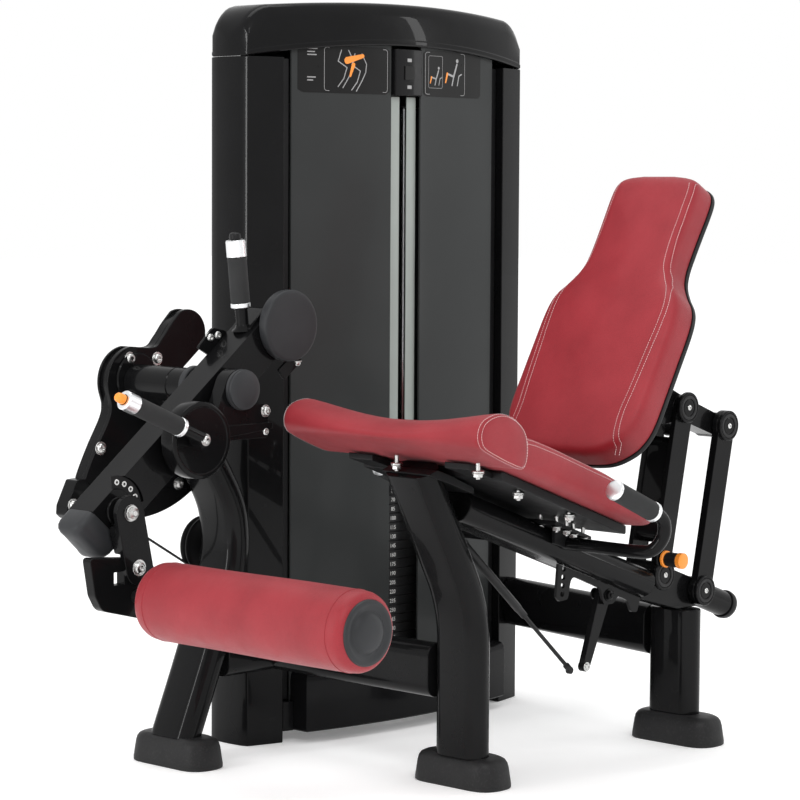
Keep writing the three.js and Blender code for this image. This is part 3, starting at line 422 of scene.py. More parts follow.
def spline(points, per=10, closed=False):
    """Catmull-Rom curve through the points."""
    pts = [Vector(p) for p in points]
    n = len(pts)
    out = []
    last = n if closed else n - 1
    for i in range(last):
        if closed:
            p0, p1, p2, p3 = pts[i - 1], pts[i], pts[(i + 1) % n], pts[(i + 2) % n]
        else:
            p1, p2 = pts[i], pts[i + 1]
            p0 = pts[i - 1] if i else p1 * 2 - p2
            p3 = pts[i + 2] if i + 2 < n else p2 * 2 - p1
        for k in range(per):
            t = k / per
            out.append(0.5 * ((2 * p1) + (p2 - p0) * t + (2 * p0 - 5 * p1 + 4 * p2 - p3) * t * t
                              + (3 * p1 - p0 - 3 * p2 + p3) * t ** 3))
    if not closed:
        out.append(pts[-1])
    return out


def fillet(points, radius, n=10):
    """Straight runs joined by smooth bends."""
    pts = [Vector(p) for p in points]
    out = [pts[0]]
    for i in range(1, len(pts) - 1):
        before = pts[i] + (pts[i - 1] - pts[i]).normalized() * radius
        after = pts[i] + (pts[i + 1] - pts[i]).normalized() * radius
        for k in range(n + 1):
            t = k / n
            out.append(before * (1 - t) ** 2 + pts[i] * 2 * t * (1 - t) + after * t * t)
    out.append(pts[-1])
    return out


def between(a, b, n):
    return [Vector(a).lerp(Vector(b), i / n) for i in range(n + 1)]


def cut(obj, *builds):
    """Take shapes away from a piece and keep the result in its mesh."""
    tools = []
    for b in builds:
        t = make("cutter", b.v, b.f, PAINT, None)
        tools.append(t)
        mod = obj.modifiers.new("cut", "BOOLEAN")
        mod.operation = "DIFFERENCE"
        mod.solver = "EXACT"
        mod.object = t
        obj.modifiers.move(len(obj.modifiers) - 1, len(tools) - 1)
    kept = [m for m in obj.modifiers if m.type == "BEVEL"]
    for m in kept:
        m.show_viewport = False
    bpy.context.view_layer.update()
    result = bpy.data.meshes.new_from_object(obj.evaluated_get(bpy.context.evaluated_depsgraph_get()))
    for m in [m for m in obj.modifiers if m.type == "BOOLEAN"]:
        obj.modifiers.remove(m)
    for m in kept:
        m.show_viewport = True
    mats = list(obj.data.materials)
    obj.data = result
    obj.data.materials.clear()
    for m in mats:
        obj.data.materials.append(m)
    obj.data.polygons.foreach_set("material_index", [0] * len(obj.data.polygons))
    for t in tools:
        bpy.data.objects.remove(t)
    return obj


def bolt(b, at, direction, r=9.0, head=6.0, washer=True, socket=True):
    """Button or hex head with a washer, its base on `at`."""
    at, d = Vector(at), Vector(direction).normalized()
    base = 0.0
    if washer:
        b.rod(at, at + d * 1.8, r * 1.35, 0.4, None, 32)
        base = 1.8
    s = at + d * base
    profile = [(0, 0), (0, r), (head * 0.45, r), (head * 0.8, r * 0.86), (head, r * 0.62)]
    if socket:
        profile += [(head, r * 0.42), (head * 0.45, r * 0.38), (head * 0.45, 0)]
    else:
        profile += [(head, 0)]
    return b.lathe(profile, s, s + d, 24 if not socket else 24)


def hex_nut(b, at, direction, r=10.0, h=8.0):
    at, d = Vector(at), Vector(direction).normalized()
    b.rod(at, at + d * 1.6, r * 1.25, 0.4, None, 28)
    b.lathe([(1.6, 0), (1.6, r * 0.9), (2.2, r), (h, r), (h + 0.8, r * 0.85), (h + 0.8, 0)], at, at + d, 6)
    return b.rod(at + d * (h + 0.8), at + d * (h + 4), r * 0.45, 0.5, None, 20)


# ---------------------------------------------------------------- tower
WIDTH, DEPTH, BOW = 795.0, 105.0, 58.0
MID = WIDTH / 2
BOW_R = (MID ** 2 + BOW ** 2) / (2 * BOW)


def bow(x):
    return -(math.sqrt(BOW_R ** 2 - (x - MID) ** 2) - (BOW_R - BOW))


def arc(x0, x1, inset, n=24):
    return [(x0 + (x1 - x0) * i / n, bow(x0 + (x1 - x0) * i / n) + inset) for i in range(n + 1)]


def strip(x0, x1, near, far, n=24):
    return arc(x0, x1, near, n) + arc(x1, x0, far, n)


def rear(points):
    return [(x, DEPTH - y) for x, y in points]


def mirror(points):
    return [(WIDTH - x, y) for x, y in points]


SIDE = [(-2.6, 95), (-4.6, 80), (-5.9, 60), (-5.9, 45), (-4.6, 25), (-2.6, 10)]
COLUMN = (arc(1.5, 79, 0, 8) + [(79, 22), (34, 22), (34, 83), (79, 83)] + rear(arc(79, 1.5, 0, 8)) + SIDE)
col = Build().prism(COLUMN, 0, 1354, "z").obj("column_left", PAINT, "frame", "left_column", bevel=2.2)
cut(col, Build().box(-20, 40, 336, 60, 60, 364))
Build().prism(mirror(COLUMN), 0, 1354, "z").obj("column_right", PAINT, "frame", "right_column", bevel=2.2)


def cap_top(x):
    arch = 1 - ((x - MID) / MID) ** 2
    lo, hi = -6.0, WIDTH + 6
    base = 1451 + 19 * arch
    d = min(x - lo, hi - x)
    if d < 70:
        base = 1451 + 19 * (1 - ((70 - 6 - MID) / MID) ** 2)
        base -= 70 - math.sqrt(max(70 ** 2 - (70 - d) ** 2, 0))
    return base


def cap_section(x):
    arch = max(1 - ((x - MID) / MID) ** 2, 0)
    low = 1354.4 + 31 * arch
    top = cap_top(x)
    inside = min(max(x, 0), WIDTH)
    yf = bow(inside)
    d = min(x + 6, WIDTH + 6 - x)
    if d < 6:
        yf = 52 - 52 * (d / 6) ** 0.55
    h = top - low
    c = min(1.0, h / 80)
    w = (DEPTH / 2 - yf)
    k = min(1.0, w / 40)
    front = [(yf + 3 * k, low), (yf, low + 3 * c), (yf, low + 10 * c), (yf + 1.5 * k, low + 12 * c),
             (yf + 1.5 * k, top - 30 * c), (yf + 9 * k, top - 9 * c), (yf + 12 * k, top - 5 * c),
             (yf + 17 * k, top - 1.5 * c), (yf + 26 * k, top)]
    return [(x, y, z) for y, z in front] + [(x, DEPTH - y, z) for y, z in front[::-1]]


xs = [-5.9, -5.2, -3.5, -1, 2, 6, 12, 20, 30, 42, 55, 64]
xs = xs + [64 + (WIDTH - 128) * i / 40 for i in range(1, 40)] + [WIDTH - x for x in xs[::-1]]
Build().loft([cap_section(x) for x in xs]).obj("cap", PAINT, "frame", "top_cap", bevel=0.8, segments=2,
                                               angle=28)
Build().prism(strip(105, 355, 14, 19), 30, 1395, "z").obj("panel_left", PANEL, "frame", "front_panel_left",
                                                          bevel=1.2)
Build().prism(strip(440, 690, 14, 19), 30, 1395, "z").obj("panel_right", PANEL, "frame", "front_panel_right",
                                                          bevel=1.2)
Build().prism(rear(strip(85, 710, 19, 14, 40)), 30, 1395, "z").obj("panel_rear", PANEL, "frame", "rear_panel",
                                                                  bevel=1.2)
trims = Build()
for x0, x1 in ((80, 104.6), (WIDTH - 104.6, WIDTH - 80)):
    trims.prism(strip(x0, x1, 20, 30, 4), 82, 1352, "z")
trims.obj("panel_jambs", MOULD_DARK, "frame", bevel=1.5)
# pale sheets just behind the gap between the front panels: painted backlight in place of light seen through the rear
# panel
pale = Build()
for x0, x1 in ((364, 388), (409, 436)):
    pale.prism(strip(x0, x1, 24, 26, 3), 575, 1284, "z")
pale.obj("painted_backlight_strips", BACKLIGHT_PAINT, "frame", bevel=0.4)
Build().prism(strip(358, 437, 6, 26, 8), 1286, 1380, "z").obj("counter", SHROUD, "frame", "rep_counter",
                                                              bevel=2.5)
win = Build()
win.prism(strip(384, 412, 3.6, 6.4, 4), 1318, 1346, "z")
win.obj("counter_window", FILM, "frame", bevel=0.8)
dots = Build()
for z0, z1 in ((1354, 1361), (1300, 1307)):
    dots.prism(strip(392, 404, 5.2, 6.2, 2), z0, z1, "z")
dots.obj("counter_marks", LABEL_GREY, "frame", bevel=0.3)


def cover_ring(z, inset):
    x0, x1 = 105 + inset, WIDTH - 105 - inset
    return [(x, y, z) for x, y in strip(x0, x1, -34 + inset, 13.5, 28)]


Build().loft([cover_ring(22, 3), cover_ring(25, 0), cover_ring(122, 0), cover_ring(132, 1.6),
              cover_ring(138, 5),
              cover_ring(141.2, 10), cover_ring(142, 16)]).obj("kick_cover", SHROUD, "frame", "base_cover", bevel=0.6)
fill = Build()
for x0, x1 in ((80.5, 104.5), (WIDTH - 104.5, WIDTH - 80.5)):
    fill.prism(strip(x0, x1, 2, 30, 4), 22, 81, "z")
fill.obj("kick_fillers", SHROUD, "frame", bevel=1.5)

# placards: dark film with a plain pictogram on each


def on_front(x, z, lift):
    return (x, bow(x) + 14 - lift, z)


def film(b, x0, z0, x1, z1, lift, r=6):
    n = 20
    cols = []
    for i in range(n + 1):
        x = x0 + (x1 - x0) * i / n
        d = min(x - x0, x1 - x)
        dz = r - math.sqrt(max(r * r - max(r - d, 0) ** 2, 0))
        cols.append([on_front(x, z0 + dz, 0.05), on_front(x, z0 + dz, lift), on_front(x, z1 - dz, lift),
                     on_front(x, z1 - dz, 0.05)])
    return b.loft(cols)


films = Build()
film(films, 119, 1287, 349, 1380, 0.8)
film(films, 448, 1287, 642, 1380, 0.8)
films.obj("placards", FILM, "frame")


def shape_on_front(b, outline, lift0, lift1):
    return b.loft([[on_front(x, z, lift0) for x, z in outline], [on_front(x, z, lift1) for x, z in outline]])


marks, tint, bars, frames = Build(), Build(), Build(), Build()


def line_on_front(b, points, r, lift=0.8, rise=0.4):
    """Rounded stroke of radius r through points on the panel's face."""
    for p, q in zip(points, points[1:]):
        shape_on_front(b, stadium(p, q, r, r, 6), lift, lift + rise)


def frame_on_front(b, x0, z0, x1, z1, r=7, w=0.9):
    """Thin rounded outline on the panel's face."""
    outer = rounded([(x0, z0), (x1, z0), (x1, z1), (x0, z1)], r)
    inner = rounded([(x0 + w, z0 + w), (x1 - w, z0 + w), (x1 - w, z1 - w), (x0 + w, z1 - w)], r - w)
    rings = [[on_front(x, z, lift) for x, z in ring] for ring,
             lift in ((outer, 0.8), (outer, 1.1), (inner, 1.1), (inner, 0.8))]
    b.loft(rings + [rings[0]], closed_ends=False)


# left placard: two bent legs with a coloured thigh; right placard: two small seated figures
for dx, dz, r in ((0, 0, 1.0), (34, -6, 1.0)):
    line_on_front(marks,
                  [(222 + dx, 1372 + dz), (214 + dx, 1350 + dz), (236 + dx, 1338 + dz), (228 + dx, 1316 + dz),
                          (214 + dx, 1300 + dz)], r)
    line_on_front(marks,
                  [(240 + dx, 1372 + dz), (252 + dx, 1352 + dz), (250 + dx, 1336 + dz), (240 + dx, 1318 + dz),
                          (226 + dx, 1298 + dz)], r)
shape_on_front(tint, stadium((236, 1352), (276, 1362), 7, 4, 8), 1.2, 1.5)
shape_on_front(tint, stadium((252, 1344), (244, 1322), 4.5, 2.5, 8), 1.2, 1.5)
frame_on_front(frames, 180, 1291, 343, 1377)
frame_on_front(frames, 453, 1291, 584, 1377)
frame_on_front(frames, 463, 1304, 508, 1370, 5, 0.7)
for ox, s1 in ((470, 0.62), (520, 0.9)):
    def at(u, v):
        return (ox + u * s1, 1308 + v * s1)
    line_on_front(marks, [at(4, 30), at(28, 24), at(40, 52)], 2.4 * s1)
    line_on_front(marks, [at(28, 24), at(22, 4)], 1.8 * s1)
    line_on_front(marks, [at(42, 4), at(48, 26), at(58, 30)], 1.4 * s1)
    shape_on_front(marks, circle(4.6 * s1, 14, *at(41, 60)), 0.8, 1.2)
    shape_on_front(tint, stadium(at(4, 30), at(-2, 10), 3 * s1, 2 * s1, 8), 0.8, 1.3)
for z, w in ((1372, 24), (1366, 18), (1360, 22), (1316, 20), (1310, 14)):
    shape_on_front(bars, rounded([(140, z), (140 + w, z), (140 + w, z + 2.2), (140, z + 2.2)], 0.5, 2), 0.8,
                   1.1)
frames.obj("placard_outlines", LABEL_GREY, "frame")
marks.obj("pictogram_marks", LABEL_GREY, "frame")
tint.obj("pictogram_tint", ORANGE, "frame")
bars.obj("placard_lines", LABEL_GREY, "frame")

# guides, crossmember, base frame, pulleys
for name, x in (("guide_rod_left", 307.0), ("guide_rod_right", 488.0)):
    Build().rod((x, CABLE_Y, 80.3), (x, CABLE_Y, 1265.7), 9.5, 1).obj(name + "_bright", CHROME, "frame", name)


def fork(b, ear, x, z):
    for y0, y1 in ((33, 38), (62, 67)):
        b.prism(ear, y0, y1)
    b.disc(x, z, 6, 34, 66)
    for y, d in ((33, -1), (67, 1)):
        hex_nut(b, (x, y, z), (0, d, 0), 9, 6)


xm = Build().box(79.3, 14, 1266, 715.7, 90, 1290)
for x in (230.0, 352.5):
    fork(xm, rounded([(x - 28, 1286), (x + 28, 1286), (x + 13, 1360), (x - 13, 1360)], [1, 1, 12, 12]), x,
         1345)
xm.obj("crossmember", STEEL, "frame", "top_crossmember", bevel=1)
bf = Build().box(79.3, 5, 25, 715.7, 100, 80)
fork(bf, rounded([(112, 76), (168, 76), (156, 408), (124, 408)], [1, 1, 15, 15]), 140, 395)
for x in (307.0, 488.0):
    bf.lathe([(0, 10.2), (0, 22), (79, 22), (83, 20), (85, 16), (85, 10.2)], (x, CABLE_Y, 80),
             (x, CABLE_Y, 165), 32)
bf.obj("base_rail", STEEL, "frame", "base_frame", bevel=1)


def wheel(b, x, z, outer, groove):
    f = groove - 3.2
    return b.lathe([(0, 7), (0, 14), (2, 15), (3.5, outer * 0.55), (3.5, outer * 0.8), (0, outer - 4),
                    (0.6, outer),
                    (3, outer), (6.8, f), (9, f - 0.8), (11.2, f), (15, outer), (17.4, outer), (18,
                                                                                                outer - 4),
                    (14.5, outer * 0.8), (14.5, outer * 0.55), (16, 15), (18, 14), (18, 7), (0, 7)],
                   (x, CABLE_Y - 9, z), (x, CABLE_Y + 9, z), 72)


for name, body, x, z, outer, groove in (("knee_pulley", "knee_wheel", -66, 402, 57, 52),
                                        ("lower_pulley", "lower_wheel", 140, 395, 50, 45),
                                        ("upper_pulley_front", "upper_wheel_front", 230, 1345, 50, 45),
                                        ("upper_pulley_rear", "upper_wheel_rear", 352.5, 1345, 50, 45)):
    w = Build()
    wheel(w, x, z, outer, groove)
    w.obj(name + "_turned", MOULD_DARK, body, name)

# ---------------------------------------------------------------- weight stack
PITCH, TOP = 19.05, 547.0
PX0, PX1, PY0, PY1 = 252.5, 542.5, -13.0, 113.0


def plate(b, z0, z1):
    out = rounded([(PX0, PY0), (PX1, PY0), (PX1, PY1), (PX0, PY1)], 6, 4)
    inset = rounded([(PX0 + 1.2, PY0 + 1.2), (PX1 - 1.2, PY0 + 1.2), (PX1 - 1.2, PY1 - 1.2),
                     (PX0 + 1.2, PY1 - 1.2)], 6, 4)
    return b.loft([[(x, y, z0) for x, y in inset], [(x, y, z0 + 1.2) for x, y in out],
                   [(x, y, z1 - 1.4) for x, y in out], [(x, y, z1 - 0.2) for x, y in inset]])


def numbers(name, body, first, last):
    b = Build()
    for k in range(first, last):
        curve = bpy.data.curves.new("digits", "FONT")
        curve.body = str(10 + 15 * k)
        curve.size = 11.5
        curve.align_x = "CENTER"
        curve.extrude = 0.12
        curve.resolution_u = 3
        temp = bpy.data.objects.new("digits", curve)
        mesh = bpy.data.meshes.new_from_object(temp)
        z = TOP - (k + 1) * PITCH + 5.2
        b.add([(397 + v.co.x, PY0 - 0.1 - v.co.z, z + v.co.y) for v in mesh.vertices],
              [tuple(p.vertices) for p in mesh.polygons])
        bpy.data.objects.remove(temp)
        bpy.data.curves.remove(curve)
    return b.obj(name, LABEL, body)


rest = Build()
for k in range(4, 20):
    plate(rest, TOP - (k + 1) * PITCH, TOP - k * PITCH)
rest.obj("plates_resting", STEEL, "frame", "resting_plates")
lifted = Build()
for k in range(1, 4):
    plate(lifted, TOP - (k + 1) * PITCH, TOP - k * PITCH)
lifted.obj("plates_lifted", STEEL, "stack", "lifted_plates")
numbers("numbers_resting", "frame", 4, 20)
numbers("numbers_lifted", "stack", 0, 4)
tp = Build()
plate(tp, TOP - PITCH + 0.3, TOP)
tp.prism(rounded([(MID - 46, 20), (MID + 46, 20), (MID + 46, 80), (MID - 46, 80)], 8, 4), 545, 629, "z")
for x in (307.0, 488.0):
    tp.lathe([(0, 10.1), (0, 19), (50, 19), (55, 16), (55, 10.1)], (x, CABLE_Y, 545), (x, CABLE_Y, 600), 32)
tp.rod((MID, CABLE_Y, 179), (MID, CABLE_Y, 530), 11, 1.5)
tp.obj("stack_head", STEEL, "stack", "top_plate", bevel=1.2)
pin = Build()
pz = TOP - 4 * PITCH + PITCH / 2
pin.rod((MID, PY0 - 20, pz), (MID, CABLE_Y - 5, pz), 4.7, 1.2)
pin.lathe([(0, 0), (0, 8), (3, 12.5), (9, 14), (20, 14), (24, 11), (26, 8), (40, 6.5), (40, 0)],
          (MID, PY0 - 48, pz), (MID, PY0 - 8, pz), 36)
pin.obj("pin_with_knob", MOULD_DARK, "pin", "selector_pin")

# ---------------------------------------------------------------- drive cable along its fixed route
TAN = math.radians(240)
CAM_START = (AXIS[0] + 240 * math.cos(TAN), AXIS[1] + 240 * math.sin(TAN))


def around(cx, cz, r, a0, a1, n=14):
    return [(cx + r * math.cos(math.radians(a0 + (a1 - a0) * i / n)),
             cz + r * math.sin(math.radians(a0 + (a1 - a0) * i / n)))
            for i in range(n + 1)]


route = ([CAM_START] + around(-66, 402, 52, 241, 270) + around(140, 395, 45, 270, 360) + around(230, 1345,
                                                                                                45, 180, 90)
         + around(352.5, 1345, 45, 90, 0) + [(MID, 612)])
Build().sweep([(x, CABLE_Y, z) for x, z in route], circle(2.5, 12), side=(0, 1, 0)).obj(
    "cable_run", CABLE_MAT, "frame", "drive_cable")

# ---------------------------------------------------------------- feet and frame tubes
def foot(name, x, y):
    b = Build()

    def ring(z, hl, hw):
        r = min(hw, 44)
        pts = rounded([(x - hw, y - hl), (x + hw, y - hl), (x + hw, y + hl), (x - hw, y + hl)], r, 12)
        return [(px, py, z) for px, py in pts]
    b.loft([ring(0, 98, 44), ring(2, 100, 46), ring(8, 100, 46), ring(38, 96, 42.5), ring(47, 93.5, 40.5),
            ring(53, 89, 37), ring(56.4, 82, 32), ring(57.6, 74, 31)])
    return b.obj(name + "_boot", RUBBER, "frame", name)


foot("foot_front", 53, -531)
foot("foot_rear", 663, -553)
foot("foot_side", -202.5, -25)

TUBE = oval(112, 56)
XBAR = oval(102, 52)
front_path = fillet([(40, SEAT_Y, 56), (40, SEAT_Y, 330), (-100, SEAT_Y, 596)], 70)
front_path = between(front_path[0], front_path[1], 3)[:-1] + front_path[1:]
Build().sweep(front_path, TUBE, (0, 1, 0)).obj("front_leg_tube", PAINT, "frame", "front_leg", bevel=1.5)
Build().sweep(between((665, SEAT_Y, 56), (665, SEAT_Y, 267.8), 2), TUBE, (0, 1, 0)).obj(
    "rear_leg_tube", PAINT, "frame", "rear_leg", bevel=3)


def beam_z(x):
    return 548.2 - (x + 70) * math.tan(math.radians(19.9))


Build().sweep(between((-4, SEAT_Y, beam_z(-4)), (530, SEAT_Y, beam_z(530)), 2), TUBE, (0, 1, 0)).obj(
    "seat_beam_tube", PAINT, "frame", "seat_beam", bevel=3)
side_pts = spline([(-214, -25, 40), (-205, -25, 62), (-139, -25, 220), (-88, -25, 360), (-86, -25, 470),
                   (-130, -25, 560), (-190, -25, 640), (-256, -25, 724)], 7)
sl = Build().sweep([p for p in side_pts if p.z > 45], TUBE, (0, 1, 0))
sl.lathe([(0, 16.6), (0, 31), (2, 33), (56, 33), (58, 31), (60, 33), (176, 33), (178, 31), (178, 16.6),
          (0, 16.6)],
         (AXIS[0], -150, AXIS[1]), (AXIS[0], 28, AXIS[1]), 56)
sl.disc(-66, 402, 14, 20, 39.5)
sl.disc(-66, 402, 6, 30, 62)
hex_nut(sl, (-66, 61, 402), (0, 1, 0), 9, 5)
sl.obj("side_leg_tube", PAINT, "frame", "side_leg", bevel=1.0, segments=2)
Build().lathe([(0, 16.8), (0, 36), (2, 38), (12, 38), (14, 36), (14, 16.8), (0, 16.8)],
              (AXIS[0], -146, AXIS[1]),
              (AXIS[0], -132, AXIS[1]), 56).obj("bearing_ring", MOULD, "frame")


def to_column(b, section, a, e):
    """Cross tube whose far end follows the bowed column."""
    a, e = Vector(a), Vector(e)
    d = (e - a).normalized()
    rings = []
    for t in (0.0, 0.3, 0.7, 1.0):
        ring = []
        for u, v in section:
            p = a.lerp(e, t)
            side = Vector((d.y, -d.x, 0))
            q = p + side * v + Vector((0, 0, u))
            if t == 1.0:
                q = q + d * ((bow(min(max(q.x, 1), 794)) - 0.8 - q.y) / d.y)
            ring.append(q)
        rings.append(ring)
    return b.loft(rings)


xb = Build()
to_column(xb, XBAR, (30, SEAT_Y + 56.3, 209), (30, -5, 209))
xb.obj("front_cross_tube", PAINT, "frame", "front_crossbeam", bevel=2)
Build().sweep(between((-112, -45, 209), (14, -45, 209), 2), XBAR, (0, 0, 1)).obj("side_stub_tube", PAINT,
                                                                                 "frame", bevel=2)
rb = Build()
to_column(rb, XBAR, (673, SEAT_Y + 62, 215), (757, -40, 215))
rb.obj("rear_cross_tube", PAINT, "frame", "rear_crossbeam", bevel=2)

MY0, MY1 = SEAT_Y - 24, SEAT_Y + 24
A1, A2, B1, B2 = (573.0, 345.0), (699.0, 302.0), (642.0, 671.0), (768.0, 628.0)
br = Build().prism(rounded([(524, 300), (542, 352), (573, 368), (606, 356), (696, 324), (718, 310),
                            (718, 272),
                            (704, 268.3), (640, 268.3), (600, 280)], [2, 2, 12, 20, 12, 10, 6, 2, 8, 14]), MY0, MY1)
for x, z in (A1, A2):
    br.disc(x, z, 25, MY0 - 1.2, MY1 + 1.2, 1.5)
br.rod((712, SEAT_Y, 297), (829, SEAT_Y, 254.5), 26, 3)
br.obj("rear_bracket_plate", PAINT, "frame", "rear_bracket", bevel=2.5)
Build().lathe([(0, 20), (0, 28.5), (6, 29.5), (14, 28), (20, 22), (22, 12), (22, 0)], (816, SEAT_Y, 259.2),
              (825.4, SEAT_Y, 255.8), 48).obj("tube_end_plug", MOULD_DARK, "frame")

# ---------------------------------------------------------------- cam unit
AX, AZ = AXIS


def polar(deg, r):
    return (AX + r * math.cos(math.radians(deg)), AZ + r * math.sin(math.radians(deg)))


def anchor(along, out):
    c, s = math.cos(TAN), math.sin(TAN)
    return (CAM_START[0] - along * s + out * c, CAM_START[1] + along * c + out * s)


LOBE = (-126.0, 819.0)


def cam_outline(rim, head=67.0, lobe=46.0):
    """Head, upper lobe and toothless quadrant in one smooth outline."""
    pts = []
    for k in range(25):
        pts.append(polar(243 + 64 * k / 24, rim))
    pts += [polar(309, rim - 6), polar(345, 75)]
    pts += [tuple(Vector(LOBE) + Vector((math.cos(t), math.sin(t))) * lobe)
            for t in (math.radians(-35 + 150 * i / 20) for i in range(21))]
    notch = spline([tuple(Vector(LOBE) + Vector((math.cos(math.radians(115)),
                                                 math.sin(math.radians(115)))) * lobe),
                    (-168, 838), (-190, 812), (-212, 795), polar(98, head)], 6)
    pts += [tuple(p) for p in notch[1:-1]]
    pts += [polar(98 + 104 * i / 26, head) for i in range(27)]
    pts += [tuple(p) for p in spline([polar(202, head), polar(217, 72), polar(227, 92), polar(232, 150),
                                      polar(235, 205),
                                      polar(237, 228)], 5)[1:]]
    return pts


cam = Build()
cam.prism(cam_outline(262), 32, 42)
cam.prism(cam_outline(236, 61, 40), 41.5, 58.5)
cam.prism(cam_outline(262), 58, 64)
cam.prism(rounded([anchor(a, o) for a,
                   o in ((-34, -14), (-16, -26), (-0.8, -20), (-0.8, 10), (-8, 56), (-24, 53),
                                             (-31, 38))], 5, 4), 31.6, 64.4)
cam.obj("cam_plates", PAINT, "cam_unit", "lift_cam", bevel=1.6)
hub = Build()
hub.disc(AX + 3, AZ + 5, 50, 27.2, 32.5, 2.5)
hub.obj("cam_boss", PAINT, "cam_unit", bevel=0.8)
cb = Build()
for x, z in ((-273, 776), (-205, 773), (-292, 700), (-345, 610), (-150, 530)):
    bolt(cb, (x, 32.0, z), (0, -1, 0), 9.5, 6)
bolt(cb, (anchor(-20, 30)[0], 31.6, anchor(-20, 30)[1]), (0, -1, 0), 9, 6)
cb.obj("cam_bolts", ZINC, "cam_unit")
shaft = Build()
shaft.rod((AX, -268, AZ), (AX, 68, AZ), 15.9, 1)
shaft.obj("arm_axle", CHROME, "cam_unit", "arm_shaft")
axcap = Build()
axcap.lathe([(0, 17), (0, 36), (1, 37.4), (7, 37.4), (7.8, 35.8), (9, 35.8), (10, 36.8), (13, 36),
             (15.5, 31), (17, 20),
             (17.4, 8), (17.5, 0)], (AX, -262.2, AZ), (AX, -291, AZ), 72)
axcap.obj("axle_cap", MOULD, "cam_unit")
castb = Build()
HX, HZ = -358.0, 645.0
castb.lathe([(0, 0), (0, 66), (2.5, 69.5), (6, 70), (33, 70), (35, 69), (36, 66), (36, 61), (34.8, 60),
             (34.8, 0)],
            (HX, -232, HZ), (HX, -270, HZ), 96)
castb.prism(rounded([(-302, 640), (-189, 640), (-189, 704), (-302, 704)], [8, 12, 14, 8], 8), -262, -232.4)
castb.prism(rounded([(-300, 646), (-182, 656), (-182, 668), (-300, 668)], 3, 4), -265, -232.6)
castb.prism(stadium((AX, AZ), (-290, 672), 38, 34), -261.5, -232.2)
castb.obj("hub_casting_body", PAINT, "cam_unit", "hub_casting", bevel=2)
cz = Build()
bolt(cz, (-198, -262, 690), (0, -1, 0), 8.5, 6)
bolt(cz, (-198, -262, 652), (0, -1, 0), 7, 4, washer=False)
cz.obj("hub_bolts", ZINC, "cam_unit")


def handle(prefix, body, base, top, foam_from, foam_to, r_stem, r_foam, collar_r, slot_node, button_node,
           button_mat,
           button_body, reach, button_r=9.0):
    """Stem, silver ring, foam sleeve, silver collar and press button along one line."""
    a, d = Vector(base), (Vector(top) - Vector(base))
    length = d.length
    d.normalize()
    stem = Build()
    stem.rod(a, a + d * (length - 2), r_stem, 0.6)
    bpart = Build()
    f0, f1 = foam_from * length, foam_to * length
    foam = [(f0, r_stem), (f0, r_foam - 1.5), (f0 + 1.5, r_foam)]
    s = f0 + 3
    while s < f1 - 4:
        foam += [(s, r_foam), (s + 1.3, r_foam - 0.25), (s + 2.6, r_foam)]
        s += 3.4
    foam += [(f1 - 1.5, r_foam), (f1, r_foam - 1.5), (f1, r_stem), (f0, r_stem)]
    bpart.lathe(foam, a, a + d, 40)
    bpart.obj(prefix + "_foam", FOAM, body, slot_node)
    ring = Build()
    ring.lathe([(f0 - 9, r_stem), (f0 - 9, r_foam - 1), (f0 - 8, r_foam + 0.6), (f0 - 1.2, r_foam + 0.6),
                (f0 - 0.2, r_foam - 0.4), (f0 - 0.2, r_stem), (f0 - 9, r_stem)], a, a + d, 48)
    ring.lathe([(f1 + 0.2, 6), (f1 + 0.2, collar_r - 0.8), (f1 + 1.2, collar_r), (length - 2.5, collar_r),
                (length - 0.6, collar_r - 1.4), (length, collar_r - 3.2), (length, button_r + 1.2),
                (length - 3, button_r + 0.8), (length - 3, 6), (f1 + 0.2, 6)], a, a + d, 48)
    ring.obj(prefix + "_collars", ALU, body)
    tip = Build()
    tip.lathe([(0, 0), (0, button_r - 0.6), (0.6, button_r), (reach * 0.55, button_r),
               (reach * 0.8, button_r * 0.88),
               (reach * 0.95, button_r * 0.6), (reach, 0)], a + d * (length + 0.3), a + d * (length + 1.3), 36)
    tip.obj(prefix + "_button", button_mat, button_body, button_node)
    return stem


fstem = handle("forward_grip", "cam_unit", (-380, -298, 651), (-569, -298, 731), 0.33, 0.86, 10.5, 17, 17.6,
               "forward_handle", "forward_button", ORANGE, "forward_release", 18)
fstem.disc(-383, 650, 13, -304, -270.2, 2)
fstem.obj("forward_grip_stem", PAINT, "cam_unit")
fb = Build()
bolt(fb, (-383, -304, 650), (0, -1, 0), 8, 5)
fb.obj("forward_grip_bolt", ZINC, "cam_unit")

# ---------------------------------------------------------------- arm
YN, YF = -220.0, -154.0
YM = (YN + YF) / 2
ca, sa = math.cos(math.radians(38.5)), math.sin(math.radians(38.5))


def arm_at(along, across):
    across -= 2.5
    return (AX + along * ca - across * sa, AZ + along * sa + across * ca)


beam = Build()
beam.prism(rounded([arm_at(*p) for p in ((-372, -39), (186, -39), (204, -19), (204, 19), (186, 39),
                                         (-372, 39))],
                   [1, 14, 12, 12, 14, 1]), YN, YF)
bo = beam.obj("arm_beam_tube", PAINT, "arm", "arm_beam", bevel=7, segments=5)
LPX, LPZ = -519.0, 526.0


def about_pivot(r, deg):
    return (LPX + r * math.cos(math.radians(deg)), LPZ + r * math.sin(math.radians(deg)))


